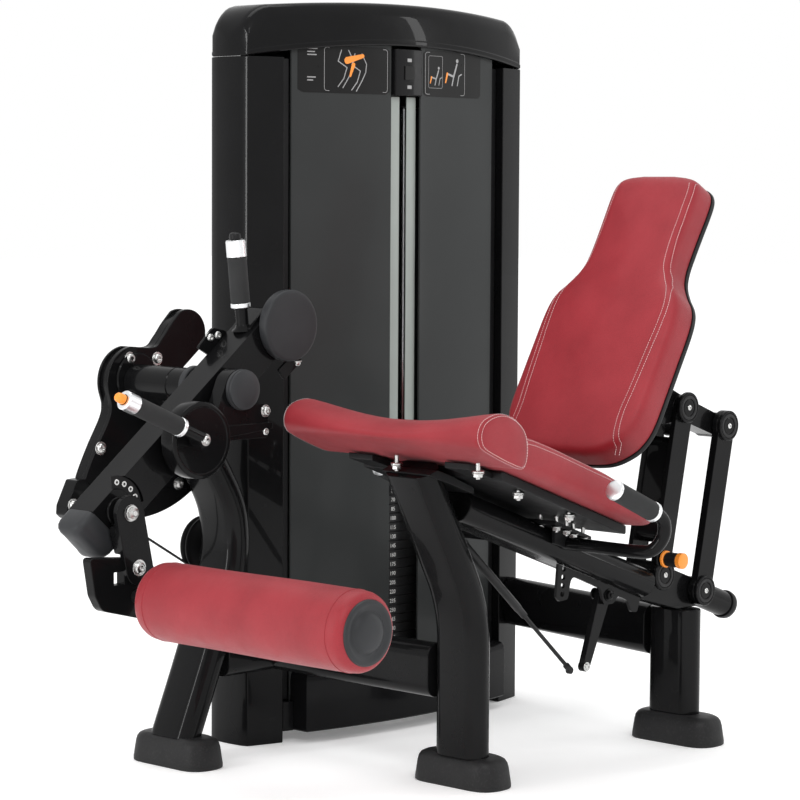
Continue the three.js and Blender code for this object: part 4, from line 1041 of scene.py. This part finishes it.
arc = [about_pivot(64, 12 + 88 * i / 16) for i in range(17)] + [about_pivot(39, 100 - 88 * i / 16) for i in range(17)]
cut(bo, Build().prism(arc, YN - 5, YN + 6))
rec = Build().prism([about_pivot(63, 13 + 86 * i / 16) for i in range(17)]
                    + [about_pivot(40, 99 - 86 * i / 16) for i in range(17)], YN + 4.6, YN + 7)
rec.obj("arm_recess_floor", MOULD_DARK, "arm")
pins = Build()
for deg in (26, 46, 66, 86):
    hx, hz = about_pivot(51, deg)
    pins.lathe([(0, 2.4), (0, 5.2), (0.8, 5.6), (1.4, 5.2), (1.4, 2.4), (0, 2.4)], (hx, YN + 4.6, hz),
               (hx, YN + 3.6, hz), 24)
pins.obj("arm_recess_rings", ZINC, "arm")
capb = Build()


def cap_ring(along, g):
    pts = rounded([(YN - 2 + g, -50 + g), (YF + 2 - g, -50 + g), (YF + 2 - g, 42 - g), (YN - 2 + g, 42 - g)],
                  14, 6)
    out = []
    for y, n in pts:
        x, z = arm_at(along - 0.18 * n - (0.004 * n * n if along < -380 else 0), n)
        out.append((x, y, z))
    return out


capb.loft([cap_ring(-366, 0.8), cap_ring(-368, 0), cap_ring(-388, 0.3), cap_ring(-397, 2),
           cap_ring(-405, 5.5),
           cap_ring(-411, 11), cap_ring(-414.5, 18), cap_ring(-416, 27)])
capb.obj("beam_end_moulding", MOULD, "arm", "beam_end_cap")
cw = Build()
cw.lathe([(0, 0), (0, 62), (2, 66.5), (5, 67), (17, 67), (19, 66.2), (20.6, 64), (21.2, 60), (21.8, 50),
          (22, 0)],
         (-110, YN - 0.4, 843), (-110, YN - 22.2, 843), 96)
cw.obj("counterweight_disc", MOULD, "arm", "counterweight")
lp = Build()
lp.disc(LPX, LPZ, 26, YN - 7, YN + 1, 1.5)
lp.disc(LPX, LPZ, 8, YN - 42, YN)
tabs = rounded([(-192, 838), (-142, 886), (-122, 880), (-118, 852), (-150, 812)], [4, 12, 10, 6, 4])
lp.prism(tabs, YN + 8, YN + 14)
lp.prism(rounded([(-128, 760), (-92, 788), (-70, 782), (-70, 772), (-112, 742)], [3, 8, 6, 4, 3]), YN - 4,
         YN + 2)
lp.obj("arm_fittings", PAINT, "arm", bevel=1.2)
ab = Build()
bolt(ab, (-140, YN + 8, 868), (0, -1, 0), 9, 6)
bolt(ab, (-80, YN - 3, 776), (0, 0, -1), 7, 8)
hex_nut(ab, (LPX, YN - 42, LPZ), (0, -1, 0), 11, 6)
ab.obj("arm_bolts", ZINC, "arm")
lug = Build()
lug.prism(rounded([(-266, 804), (-229, 840), (-199, 834), (-179, 816), (-219, 778)], [4, 10, 10, 4, 4]),
          YF + 0.5, YF + 7)
lug.obj("arm_stop_lug", PAINT, "arm", bevel=1)
lb = Build()
for x, z in ((-235, 821), (-217, 825)):
    bolt(lb, (x, YF + 4, z), (0, -1, 0), 8, 5)
lb.obj("arm_stop_bolts", ZINC, "arm")
us = handle("upright_grip", "arm", (-186, YM, 843), (-204, YM, 1003), 0.27, 0.80, 12, 18, 18.4,
            "upright_handle",
            "upright_button", MOULD_DARK, "upright_release", 14, 11.0)
us.lathe([(0, 0), (0, 21), (2, 20), (6, 15), (12, 12.4), (12, 0)], (-184.5, YM, 834), (-186, YM, 850), 40)
us.obj("upright_grip_stem", PAINT, "arm")

# ---------------------------------------------------------------- pad link and roller
RX, RZ = -500.0, 375.0
RN, RF = -828.0, -316.0
pl = Build()
arm_plate = stadium((LPX, LPZ), (-497, 425), 31, 31)
pl.prism(arm_plate, YN - 38, YN - 26)
plo = pl.obj("pad_link_arm", PAINT, "pad_arm", "pad_link", bevel=1.6)
cut(plo, Build().disc(LPX, LPZ, 9, YN - 50, YN, 0.1))
pl = Build()
pl.prism(rounded([(-606, 452), (-594, 384), (-578, 356), (-458, 326), (-446, 398), (-466, 442)],
                 [8, 24, 26, 6, 10, 8], 8),
         YN - 30, YN - 8.2)
plo = pl.obj("pad_link_foot", PAINT, "pad_arm", bevel=1.6)
cut(plo, Build().box(-550, YN - 45, 399, -527, YN, 422))
web = Build()
web.prism(rounded([(-545, 500), (-532, 452), (-470, 440), (-488, 520)], 6, 4), YN - 27, YN - 8.3)
web.obj("pad_link_web", PAINT, "pad_arm", bevel=1.5)
plb = Build()
bolt(plb, (-500, YN - 38, 427), (0, -1, 0), 11, 6)
plb.lathe([(0, 0), (0, 15), (2, 15), (2, 9), (0, 9)], (LPX, YN - 38, LPZ), (LPX, YN - 39, LPZ), 40)
plb.obj("pad_link_bolts", ZINC, "pad_arm")
axle = Build().rod((RX, RN - 1, RZ), (RX, YN - 8.2, RZ), 12, 1)
axle.obj("roller_shaft", STEEL, "pad_arm", "roller_axle")
roll = Build()
prof = [(0, 12.6), (0, 40), (1, 57), (3.5, 62), (8, 65.5), (15, 68), (26, 69), (60, 69.5)]
L = RF - RN
prof += [(60 + (L - 120) * i / 20, 69.5 + 0.4 * math.sin(i * 0.31)) for i in range(1, 21)]
prof += [(L - 26, 69.2), (L - 13, 68), (L - 6, 65), (L - 1.5, 60), (L, 52), (L, 12.6), (0, 12.6)]
roll.lathe(prof, (RX, RN, RZ), (RX, RF, RZ), 96)
roll.obj("roller_sleeve", LEATHER, "roller", "roller_pad", slot="upholstery", angle=60)
rc = Build()
rc.lathe([(-2, 13), (-2, 52), (-1, 55.6), (3, 55.6), (6, 54), (7.2, 50), (6.4, 46), (4.2, 42), (3.8, 37),
          (6, 33.5),
          (8.5, 31), (10.5, 25), (11.6, 14), (12, 0.0)], (RX, RN + 3, RZ), (RX, RN - 9, RZ), 80)
rc.obj("roller_end_cap", MOULD, "roller")
rf = Build()
rf.lathe([(0, 13), (0, 50), (1.2, 52), (3, 50), (3.2, 13), (0, 13)], (RX, RF - 0.5, RZ), (RX, RF + 6, RZ), 64)
rf.obj("roller_inner_washer", MOULD_DARK, "roller")
seam = Build()
for y in (RN + 30, RF - 30):
    seam.lathe([(0, 67), (0.0, 69.4), (0.6, 69.9), (1.2, 69.4), (1.2, 67)], (RX, y, RZ), (RX, y + 1, RZ), 96)
seam.obj("roller_seams", LEATHER, "roller", slot="upholstery")

# ---------------------------------------------------------------- soft goods
def thread(b, points, normals, length=3.4, gap=1.5, r=0.34, lift=0.3):
    """Short rounded stitches laid along a line of points, each a flattened capsule."""
    dist = [0.0]
    for p, q in zip(points, points[1:]):
        dist.append(dist[-1] + (q - p).length)

    def at(s):
        for i in range(len(dist) - 1):
            if s <= dist[i + 1] or i == len(dist) - 2:
                seg = dist[i + 1] - dist[i]
                t = 0 if seg < 1e-9 else min(max((s - dist[i]) / seg, 0), 1)
                return points[i].lerp(points[i + 1], t), normals[i].lerp(normals[i + 1], t).normalized()
        return points[-1], normals[-1]
    s = gap
    while s + length < dist[-1]:
        p, q, nm = at(s)[0], at(s + length)[0], at(s + length / 2)[1]
        t = (q - p).normalized()
        side = t.cross(nm).normalized()
        rings = []
        for f, k, h in ((0.0, 0.25, -0.2), (0.12, 0.85, 0.2), (0.5, 1.0, 0.45), (0.88, 0.85, 0.2),
                        (1.0, 0.25, -0.2)):
            c = p.lerp(q, f) + nm * (lift + h * r)
            rings.append([c + side * (math.cos(a) * r * k * 1.25) + nm * (math.sin(a) * r * k)
                          for a in (2 * math.pi * i / 6 for i in range(6))])
        b.loft(rings)
        s += length + gap
    return b


# front bolster: D section running across the seat, its ends faced by stitched panels
SLOPE = math.tan(math.radians(19.9))
BOL = [(-170, 648), (-186, 662), (-189, 680), (-180, 698), (-158, 709), (-128, 712), (-98, 703), (-72, 684),
       (-60, 660),
       (-60, 628), (-72, 611), (-110, 622)]


def bolster_ring(y, shrink=0.0, n=8):
    t = (y - SEAT_Y) / 243.0
    sag = 25 * (1 - min(abs(t), 1.0) ** 2) ** 1.4
    pts = spline(BOL, n, closed=True)
    cx, cz = -122.0, 664.0
    out = []
    for p in pts:
        x, z = p
        x = cx + (x - cx) * (1 - shrink)
        z = cz + (z - cz) * (1 - shrink)
        if z > 655:
            z -= sag * min((z - 655) / 40, 1)
        out.append((x, y, z))
    return out


bol = Build()
rings = []
for off, sh in ((-246.5, 0.55), (-246, 0.35), (-245, 0.16), (-243.5, 0.075), (-241, 0.03), (-237, 0.006),
                (-230, 0.0)):
    rings.append(bolster_ring(SEAT_Y + off, sh))
for i in range(1, 20):
    rings.append(bolster_ring(SEAT_Y - 230 + 460 * i / 20))
for off, sh in ((230, 0.0), (237, 0.006), (241, 0.03), (243.5, 0.075), (245, 0.16), (246, 0.35),
                (246.5, 0.55)):
    rings.append(bolster_ring(SEAT_Y + off, sh))
bol.loft(rings)
bol.obj("seat_bolster", LEATHER, "frame", "seat_pad", slot="upholstery", angle=70)


def cushion_top(x):
    pts = [(-100, 684), (-60, 672), (0, 660), (60, 640), (120, 617), (200, 587), (280, 550), (318, 528),
           (334, 508), (338, 497)]
    for (xa, za), (xb, zb) in zip(pts, pts[1:]):
        if x <= xb:
            t = (x - xa) / (xb - xa)
            return za + (zb - za) * t
    return pts[-1][1]


def cushion_low(x):
    return 652 - (x + 186) * SLOPE + max(0, x - 300) * 0.25


def cushion_section(x, grow=1.0):
    half = 214 * grow
    lo, hi = cushion_low(x), cushion_top(x) + 2
    mid = (lo + hi) / 2
    h = max((hi - lo) / 2, 3)
    out = []
    n = 56
    for i in range(n):
        a = 2 * math.pi * i / n
        c, s = math.cos(a), math.sin(a)
        e = 0.16 if s > 0 else 0.10
        y = half * math.copysign(abs(c) ** 0.20, c)
        z = h * math.copysign(abs(s) ** 0.55, s)
        if s > 0:
            z += 5 * (1 - (y / half) ** 2) - 1 + e * 0
        out.append((x, SEAT_Y + y, mid + z))
    return out


cu = Build()
stations = [-75 + 375 * i / 26 for i in range(27)] + [308, 316, 323, 329, 333, 336, 337.5]
shrink = {316: 0.995, 323: 0.985, 329: 0.965, 333: 0.94, 336: 0.9, 337.5: 0.84}
cu.loft([cushion_section(x, shrink.get(x, 1.0)) for x in stations])
cuo = cu.obj("seat_cushion", LEATHER, "frame", slot="upholstery", angle=70)

# seat stitching: two rows round the end panels of the bolster, one pair along the cushion's upper edge
st = Build()
for side in (-1, 1):
    for off, sh in ((240.5, 0.035), (245.9, 0.105)):
        ring = bolster_ring(SEAT_Y + side * (off if off < 243 else 245.3), sh - 0.015, 8)
        c = Vector((-122, SEAT_Y + side * off, 664))
        pts = [Vector(p) for p in ring]
        nor = [(Vector((p.x - c.x, 0, p.z - c.z)).normalized() * (1.0 if off < 243 else 0.3)
                + Vector((0, side * (0.35 if off < 243 else 1.0), 0))).normalized() for p in pts]
        pts.append(pts[0])
        nor.append(nor[0])
        thread(st, pts, nor)
    for lift_in in (0.985, 0.945):
        pts, nor = [], []
        for x in [-55 + 375 * i / 50 for i in range(51)]:
            lo, hi = cushion_low(x), cushion_top(x) + 2
            h = (hi - lo) / 2
            c = lift_in
            s = math.sin(math.acos(c ** 5))
            y = 214 * c
            z = (lo + hi) / 2 + h * s ** 0.55 + 5 * (1 - c * c) - 1
            pts.append(Vector((x, SEAT_Y + side * y, z)))
            nor.append(Vector((0.25, side * (0.9 if c > 0.97 else 0.45), 0.8)).normalized())
        thread(st, pts, nor)
st.obj("seat_stitching", THREAD, "frame")

# pan, seat hardware
pan = Build()
pan.prism(rounded([(-50, 651.2 + (-50 + 186) * -SLOPE), (298, 651.2 - (298 + 186) * SLOPE),
                   (298, 634 - (298 + 186) * SLOPE),
                   (-50, 634 - (-50 + 186) * SLOPE)], 4, 4), SEAT_Y - 172, SEAT_Y + 172)
pan.obj("seat_pan_shell", MOULD_DARK, "frame", "seat_pan", bevel=5)
bk = Build()
for y0 in (SEAT_Y - 150, SEAT_Y + 90):
    bk.prism(rounded([(-110, 618), (-30, 590), (-30, 580), (-110, 606)], 3, 3), y0, y0 + 60)
bk.prism(rounded([(-96, 598), (-60, 586), (0, 560), (0, 548), (-60, 570), (-120, 590)], 3, 3), SEAT_Y - 60,
         SEAT_Y + 60)
bk.prism(rounded([(196, 486), (300, 448), (300, 440), (196, 478)], 2, 3), SEAT_Y - 86, SEAT_Y + 86)
bk.prism(rounded([(214, 478), (262, 460), (262, 424), (214, 440)], 4, 3), SEAT_Y - 70, SEAT_Y - 62)
bk.obj("seat_brackets", MOULD_DARK, "frame", bevel=1.5)
sb = Build()
for x, y, z in ((-118, SEAT_Y - 178, 0), (-118, SEAT_Y + 20, 0), (20, SEAT_Y - 150, 0),
                (160, SEAT_Y - 150, 0)):
    zz = 648 - (x + 186) * SLOPE - 14
    sb.rod((x, y, zz + 12), (x, y, zz - 16), 4, 0.5)
    sb.rod((x, y, zz - 2), (x, y, zz - 6), 11, 0.8)
    hex_nut(sb, (x, y, zz - 6), (0, 0, -1), 9, 7)
for x, y in ((206, -80), (230, -84), (254, -80), (278, -84), (206, -40), (254, -40)):
    zz = 478 - (x - 196) * 0.365
    hex_nut(sb, (x, SEAT_Y + y, zz), (0, 0, -1), 8, 7)
    sb.rod((x, SEAT_Y + y, zz + 8), (x, SEAT_Y + y, zz + 26), 4, 0.5)
sb.obj("seat_bolts", ZINC, "frame")

# side grips
for side, name in ((-1, "near"), (1, "far")):
    gy = SEAT_Y + side * 293
    a, e = Vector((113, gy, 567)), Vector((230, gy, 516))
    d = (e - a).normalized()
    L = (e - a).length
    g = Build()
    prof = [(8, 10), (8, 17.2), (9.5, 18.2)]
    s = 11.0
    while s < L - 14:
        prof += [(s, 18.2), (s + 1.2, 17.95), (s + 2.4, 18.2)]
        s += 3.2
    prof += [(L - 10, 18.2), (L - 9, 17.2), (L - 9, 10), (8, 10)]
    g.lathe(prof, a, a + d, 48)
    g.obj("side_grip_foam_" + name, FOAM, "frame", "grip_" + name)
    c = Build()
    c.lathe([(0, 0), (0, 14), (1.5, 17.5), (4, 18.6), (7.7, 18.6), (7.9, 17), (7.9, 0)], a, a + d, 48)
    c.lathe([(L - 8.8, 10), (L - 8.8, 18), (L - 8, 18.8), (L - 1, 18.8), (L - 0.4, 18), (L - 0.4, 10),
             (L - 8.8, 10)],
            a, a + d, 48)
    c.obj("side_grip_collars_" + name, ALU, "frame")
    stem_pts = spline([(229, gy, 516.4), (243, gy, 510.3), (260, gy - side, 494), (264, gy - side * 6, 468),
                       (258, gy - side * 24, 444), (255, gy - side * 60, 437), (255, SEAT_Y + side * 96, 437),
                       (255, SEAT_Y + side * 57, 437)], 12)
    Build().sweep(stem_pts, circle(12.5, 28)).obj("side_grip_stem_" + name, PAINT, "frame",
                                                  "handle_stem_" + name, bevel=0.8)

# back pad and shell
TH = math.radians(29.6)
UPV = Vector((math.sin(TH), 0, math.cos(TH)))
BKV = Vector((math.cos(TH), 0, -math.sin(TH)))
FOOT = Vector((287, SEAT_Y, 598))
HALF = [(28, 10.5), (60, 11.5), (92, 16.5), (118, 28), (143, 48), (158, 76), (163.5, 110), (164, 165),
        (164, 230),
        (163.5, 295), (159, 329), (149, 351), (130, 373), (113, 399), (105.5, 427), (104, 465), (104.5, 510), (105.5, 555),
        (103, 585), (92, 603), (72, 611), (38, 615)]


def back_outline(inset=0.0, n=6):
    right = spline([Vector((w, v)) for w, v in HALF], n)
    ring = [Vector((w, v)) for w, v in right] + [Vector((-w, v)) for w, v in reversed(right)]
    if inset:
        out = []
        count = len(ring)
        for i, p in enumerate(ring):
            a, b = ring[i - 1], ring[(i + 1) % count]
            t = (b - a).normalized()
            out.append(p + Vector((-t.y, t.x)) * inset)
        return out
    return ring


def back_at(w, v, d):
    return FOOT + Vector((0, w, 0)) + UPV * v + BKV * d


EDGE = [(0.0, 26), (1.2, 16), (4, 9), (8.5, 4.6), (14, 2.2), (22, 0.6), (30, -0.2), (60, -2.0), (110, -3.6),
        (170, -4.4)]


def front_depth(inset):
    for (a, da), (b, db) in zip(EDGE, EDGE[1:]):
        if inset <= b:
            return da + (db - da) * (inset - a) / (b - a)
    return EDGE[-1][1]


pad = Build()
rings = []
for inset, depth in ((0.5, 61.5), (0, 58), (0, 44), (0, 26), (1.2, 16), (4, 9), (8.5, 4.6), (14, 2.2),
                     (22, 0.6)):
    rings.append([back_at(p.x, p.y, depth) for p in back_outline(inset)])
inner = back_outline(22)
for k in (0.93, 0.85, 0.75, 0.62, 0.48, 0.33, 0.17, 0.0):
    ring = []
    for p in inner:
        w, v = p.x * k, 315 + (p.y - 315) * (1 - 0.5 * (1 - k))
        ring.append(back_at(w, v, 0.6 - 4.4 * (1 - k) ** 0.8))
    rings.append(ring)
pad.loft(rings, closed_ends=False)
count = len(rings[0])
pad.add(rings[0], [tuple(range(count))[::-1]])
pado = pad.obj("back_cushion", LEATHER, "back_rest", "back_pad", slot="upholstery", angle=80)
sh = Build()
rings = []
for inset, depth in ((-1.8, 62.4), (-2.0, 63.5), (-2.0, 70), (-1.2, 72.4), (1.5, 73.8), (8, 74), (40, 74)):
    rings.append([back_at(p.x, p.y, depth) for p in back_outline(inset)])
sh.loft(rings)
sh.obj("back_shell_moulding", MOULD_DARK, "back_rest", "back_shell")
SEAM = [(142, 16), (137, 45), (133, 75), (132, 105), (135, 140), (138, 185), (141, 238), (144, 290),
        (143, 330),
        (134, 362), (117, 390), (104.5, 418), (100, 465), (100, 525), (99.5, 575), (95, 598)]
bs = Build()
edge_of = [p for p in back_outline(0, 10) if p.x > 0]


def half_at(v):
    near = min(edge_of, key=lambda p: abs(p.y - v))
    return near.x


for offset in (0.0, 10.0):
    for sgn in (1, -1):
        run = spline([Vector((w - offset, v)) for w, v in SEAM], 10)
        pts, nor = [], []
        for p in run:
            depth = front_depth(max(half_at(p.y) - p.x, 1.0) * 0.9)
            pts.append(back_at(sgn * p.x, p.y, depth - 0.1))
            nor.append((-BKV + Vector((0, sgn * (0.5 if offset == 0 else 0.15), 0))).normalized())
        thread(bs, pts, nor, r=0.36)
bs.obj("back_stitching", THREAD, "back_rest")

# ---------------------------------------------------------------- back linkage
def boss(b, bolts, x, z, y, r=30.5, depth=10.0):
    b.lathe([(0, 0), (0, r - 2), (2, r), (depth - 1.5, r), (depth, r - 1.5), (depth, r - 5),
             (depth - 1.6, r - 6),
             (depth - 1.6, r * 0.55), (depth - 0.6, r * 0.5), (depth - 0.6, 0)], (x, y, z), (x, y - 1, z), 72)
    bolt(bolts, (x, y - depth + 0.6, z), (0, -1, 0), 5.5, 3, washer=False)


def rubber_ring(b, x, z, y, r=30.5, depth=10.0):
    b.lathe([(depth - 1.7, r - 6.2), (depth - 0.4, r - 6.4), (depth + 0.2, r - 8), (depth + 0.2, r - 11),
             (depth - 0.6, r - 12.4), (depth - 1.7, r - 12.6), (depth - 1.7, r - 6.2)], (x, y, z), (x, y - 1, z), 72)


lf, lfb, lfr = Build(), Build(), Build()
for y0, y1 in ((SEAT_Y - 37, SEAT_Y - 26), (SEAT_Y + 26, SEAT_Y + 37)):
    lf.prism(stadium(A1, B1, 25, 25), y0, y1)
m0, m1 = Vector(A1).lerp(Vector(B1), 0.25), Vector(A1).lerp(Vector(B1), 0.75)
lf.prism(stadium(tuple(m0), tuple(m1), 22, 22), SEAT_Y - 33, SEAT_Y + 33)
for x, z in (A1, B1):
    lf.disc(x, z, 8, SEAT_Y - 45, SEAT_Y + 37)
    boss(lf, lfb, x, z, SEAT_Y - 37)
    rubber_ring(lfr, x, z, SEAT_Y - 37)
    lf.disc(x, z, 20, SEAT_Y + 37, SEAT_Y + 42, 1.5)
lf.obj("link_front_bar", PAINT, "link_front", "back_link_front", bevel=2)
lfb.obj("link_front_bolts", ZINC, "link_front")
lfr.obj("link_front_rings", RUBBER, "link_front")
lr, lrb, lrr = Build(), Build(), Build()
lr.prism(stadium(A2, B2, 25, 25), SEAT_Y - 44, SEAT_Y - 27.5)
for x, z in (A2, B2):
    lr.disc(x, z, 8, SEAT_Y - 48, SEAT_Y + 24)
    boss(lr, lrb, x, z, SEAT_Y - 40, 30.5, 10)
    lr.disc(x, z, 30.5, SEAT_Y - 42, SEAT_Y - 27.4, 2)
    rubber_ring(lrr, x, z, SEAT_Y - 40)
lr.obj("link_rear_bar", PAINT, "link_rear", "back_link_rear", bevel=2)
lrb.obj("link_rear_bolts", ZINC, "link_rear")
lrr.obj("link_rear_rings", RUBBER, "link_rear")


def bp(v, d):
    q = back_at(0, v, d)
    return (q.x, q.z)


cr = Build()
cr.prism([bp(90, 74.4), bp(90, 84), bp(330, 84), bp(330, 74.4)], SEAT_Y - 60, SEAT_Y + 60)
cr.prism(rounded([bp(96, 80), (600, 640), (644, 646), (766, 604), (788, 617), (782, 643), (646, 694),
                  (556, 734),
                  bp(240, 80)], [2, 20, 14, 16, 14, 12, 14, 20, 2]), MY0, MY1)
for x, z in (B1, B2):
    cr.disc(x, z, 25, MY0 - 1, MY1 + 1, 1.5)
cr.disc(714, 618, 14, MY1 - 2, MY1 + 46, 3)
cr.obj("carrier_arm", PAINT, "back_rest", "back_carrier", bevel=2.5)
kb = Build()
KX, KZ = 565.0, 378.0
kn = Build()
kn.lathe([(0, 0), (0, 15), (1.5, 16.5), (6, 16.5), (7.5, 15), (7.5, 0)], (KX, -592, KZ), (KX, -593, KZ), 48)
kn.lathe([(0, 0), (0, 13.5), (1.5, 15.5), (11, 15.5), (12, 14), (13, 9), (13.2, 0)], (KX, -628, KZ),
         (KX, -629, KZ), 48)
kn.obj("back_knob_orange", ORANGE, "knob", "back_knob")
kb.lathe([(0, 0), (0, 13)] + [(2 + i * 3.6, 13.6 + 0.9 * (i % 2)) for i in range(8)] + [(29, 13), (29, 0)],
         (KX, -599.4, KZ), (KX, -600.4, KZ), 48)
kb.obj("back_knob_grip", MOULD_DARK, "knob")
kp = Build()
kp.rod((KX, -570, KZ), (KX, -599, KZ), 5, 0.8)
kp.obj("back_knob_pin", CHROME, "knob")
kz = Build()
kz.lathe([(0, 6), (0, 17.5), (1.5, 18.5), (8, 18.5), (9.5, 17), (9.5, 6), (0, 6)], (KX, -579.2, KZ),
         (KX, -580.2, KZ), 48)
kz.obj("back_knob_socket", PAINT, "link_front")

# ---------------------------------------------------------------- lower adjuster
def under(x):
    return beam_z(x) - 28 / math.cos(math.radians(19.9)) - 1


spb = Build()
spb.prism(rounded([(276, under(276)), (270, 330), (280, 320), (304, 322), (314, under(314) - 12),
                   (400, under(400) - 14),
                   (410, 300), (440, 300), (452, under(452) - 14), (482, under(482) - 16), (494, 278), (512,
                                                                                                        276),
                   (522, under(522))], [0, 6, 8, 8, 14, 10, 10, 12, 12, 10, 10, 8, 0]), SEAT_Y - 26, SEAT_Y - 20)
spo = spb.obj("selector_plate_cut", PAINT, "frame", "selector_plate", bevel=1)
cut(spo, *[Build().disc(292 - i * 1.5, 382 - i * 16, 5.5, SEAT_Y - 40, SEAT_Y - 10, 0.1) for i in range(4)])
hw = Build()
LP = (425.0, 318.0)
hw.disc(LP[0], LP[1], 6, SEAT_Y - 29, SEAT_Y + 8)
hex_nut(hw, (LP[0], SEAT_Y - 26, LP[1]), (0, -1, 0), 10, 6)
hw.rod((LP[0], SEAT_Y + 8, LP[1]), (LP[0], SEAT_Y + 12, LP[1]), 11, 0.8)
hw.obj("lever_pivot_bolt", PAINT, "frame")
lv = Build()
lv.prism(stadium(LP, (372, 186), 17, 10), SEAT_Y - 17.5, SEAT_Y - 4.5)
lv.disc(370, 184, 10, SEAT_Y - 18, SEAT_Y - 4)
lv.obj("lever_bar", PAINT, "lever", "back_lever", bevel=1.5)
lb2 = Build()
bolt(lb2, (370, SEAT_Y - 18, 184), (0, -1, 0), 6.5, 4)
lb2.obj("lever_end_bolt", ZINC, "lever")
S0, S1 = Vector((52, SEAT_Y + 12, 446)), Vector((356, SEAT_Y + 12, 176))
sdir = (S1 - S0).normalized()
sl_len = (S1 - S0).length
gb = Build()
gb.lathe([(0, 0), (0, 7), (3, 8.2), (sl_len * 0.50, 8.2), (sl_len * 0.505, 7.2), (sl_len * 0.56, 6.8),
          (sl_len * 0.565, 4.6), (sl_len * 0.5, 4.6), (sl_len * 0.5, 0)], S0, S0 + sdir, 32)
gb.disc(S0.x, S0.z, 9, SEAT_Y + 6, SEAT_Y + 18, 1)
gb.obj("spring_cylinder", STEEL, "spring_body", "gas_spring_body")
gr = Build()
gr.rod(S0 + sdir * sl_len * 0.52, S1 - sdir * 6, 3.9, 0.6)
gr.lathe([(0, 0), (0, 5), (1, 6.5), (14, 6.5), (16, 5.2), (16, 0)], S1 - sdir * 16, S1, 24)
gr.disc(S1.x - 1, S1.z - 1, 7, S1.y - 5, S1.y + 5, 1)
gr.obj("spring_rod_dark", STEEL, "spring_rod", "gas_spring_rod")

# ---------------------------------------------------------------- studio
floor = bpy.data.meshes.new("floor")
floor.from_pydata([(-30, -30, 0), (30, -30, 0), (30, 30, 0), (-30, 30, 0)], [], [(0, 1, 2, 3)])
flo = bpy.data.objects.new("floor", floor)
bpy.context.scene.collection.objects.link(flo)
fmat, _, fb_ = new_mat("pale_floor")
fb_.inputs["Base Color"].default_value = (1, 1, 1, 1)
fb_.inputs["Roughness"].default_value = 1.0
fb_.inputs["Emission Color"].default_value = (1, 1, 1, 1)
fb_.inputs["Emission Strength"].default_value = 0.16
fb_.inputs["Specular IOR Level"].default_value = 0.0
floor.materials.append(fmat)
flo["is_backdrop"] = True
world = bpy.data.worlds.new("studio")
bpy.context.scene.world = world
world.use_nodes = True
world.node_tree.nodes["Background"].inputs["Color"].default_value = (1, 1, 1, 1)
world.node_tree.nodes["Background"].inputs["Strength"].default_value = 1.0


def area(name, at, target, size, size_y, power):
    data = bpy.data.lights.new(name, "AREA")
    data.shape = "RECTANGLE"
    data.size = size
    data.size_y = size_y
    data.energy = power
    obj = bpy.data.objects.new(name, data)
    bpy.context.scene.collection.objects.link(obj)
    obj.location = at
    obj.rotation_mode = "QUATERNION"
    obj.rotation_quaternion = (Vector(target) - Vector(at)).to_track_quat("-Z", "Y")
    return obj


area("key", (-2.4, -3.2, 3.3), (0, 0, 0.7), 1.8, 1.4, 62)
area("left_strip", (-4.4, 0.9, 1.7), (0, 0, 0.8), 0.35, 2.8, 62)
area("right_strip", (3.6, -2.6, 1.8), (0.3, -0.2, 0.8), 0.25, 2.6, 16)
area("top", (0.0, 0.4, 3.6), (0, 0, 0.4), 2.2, 1.2, 30)
bpy.context.scene.view_settings.view_transform = "Standard"

lo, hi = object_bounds()
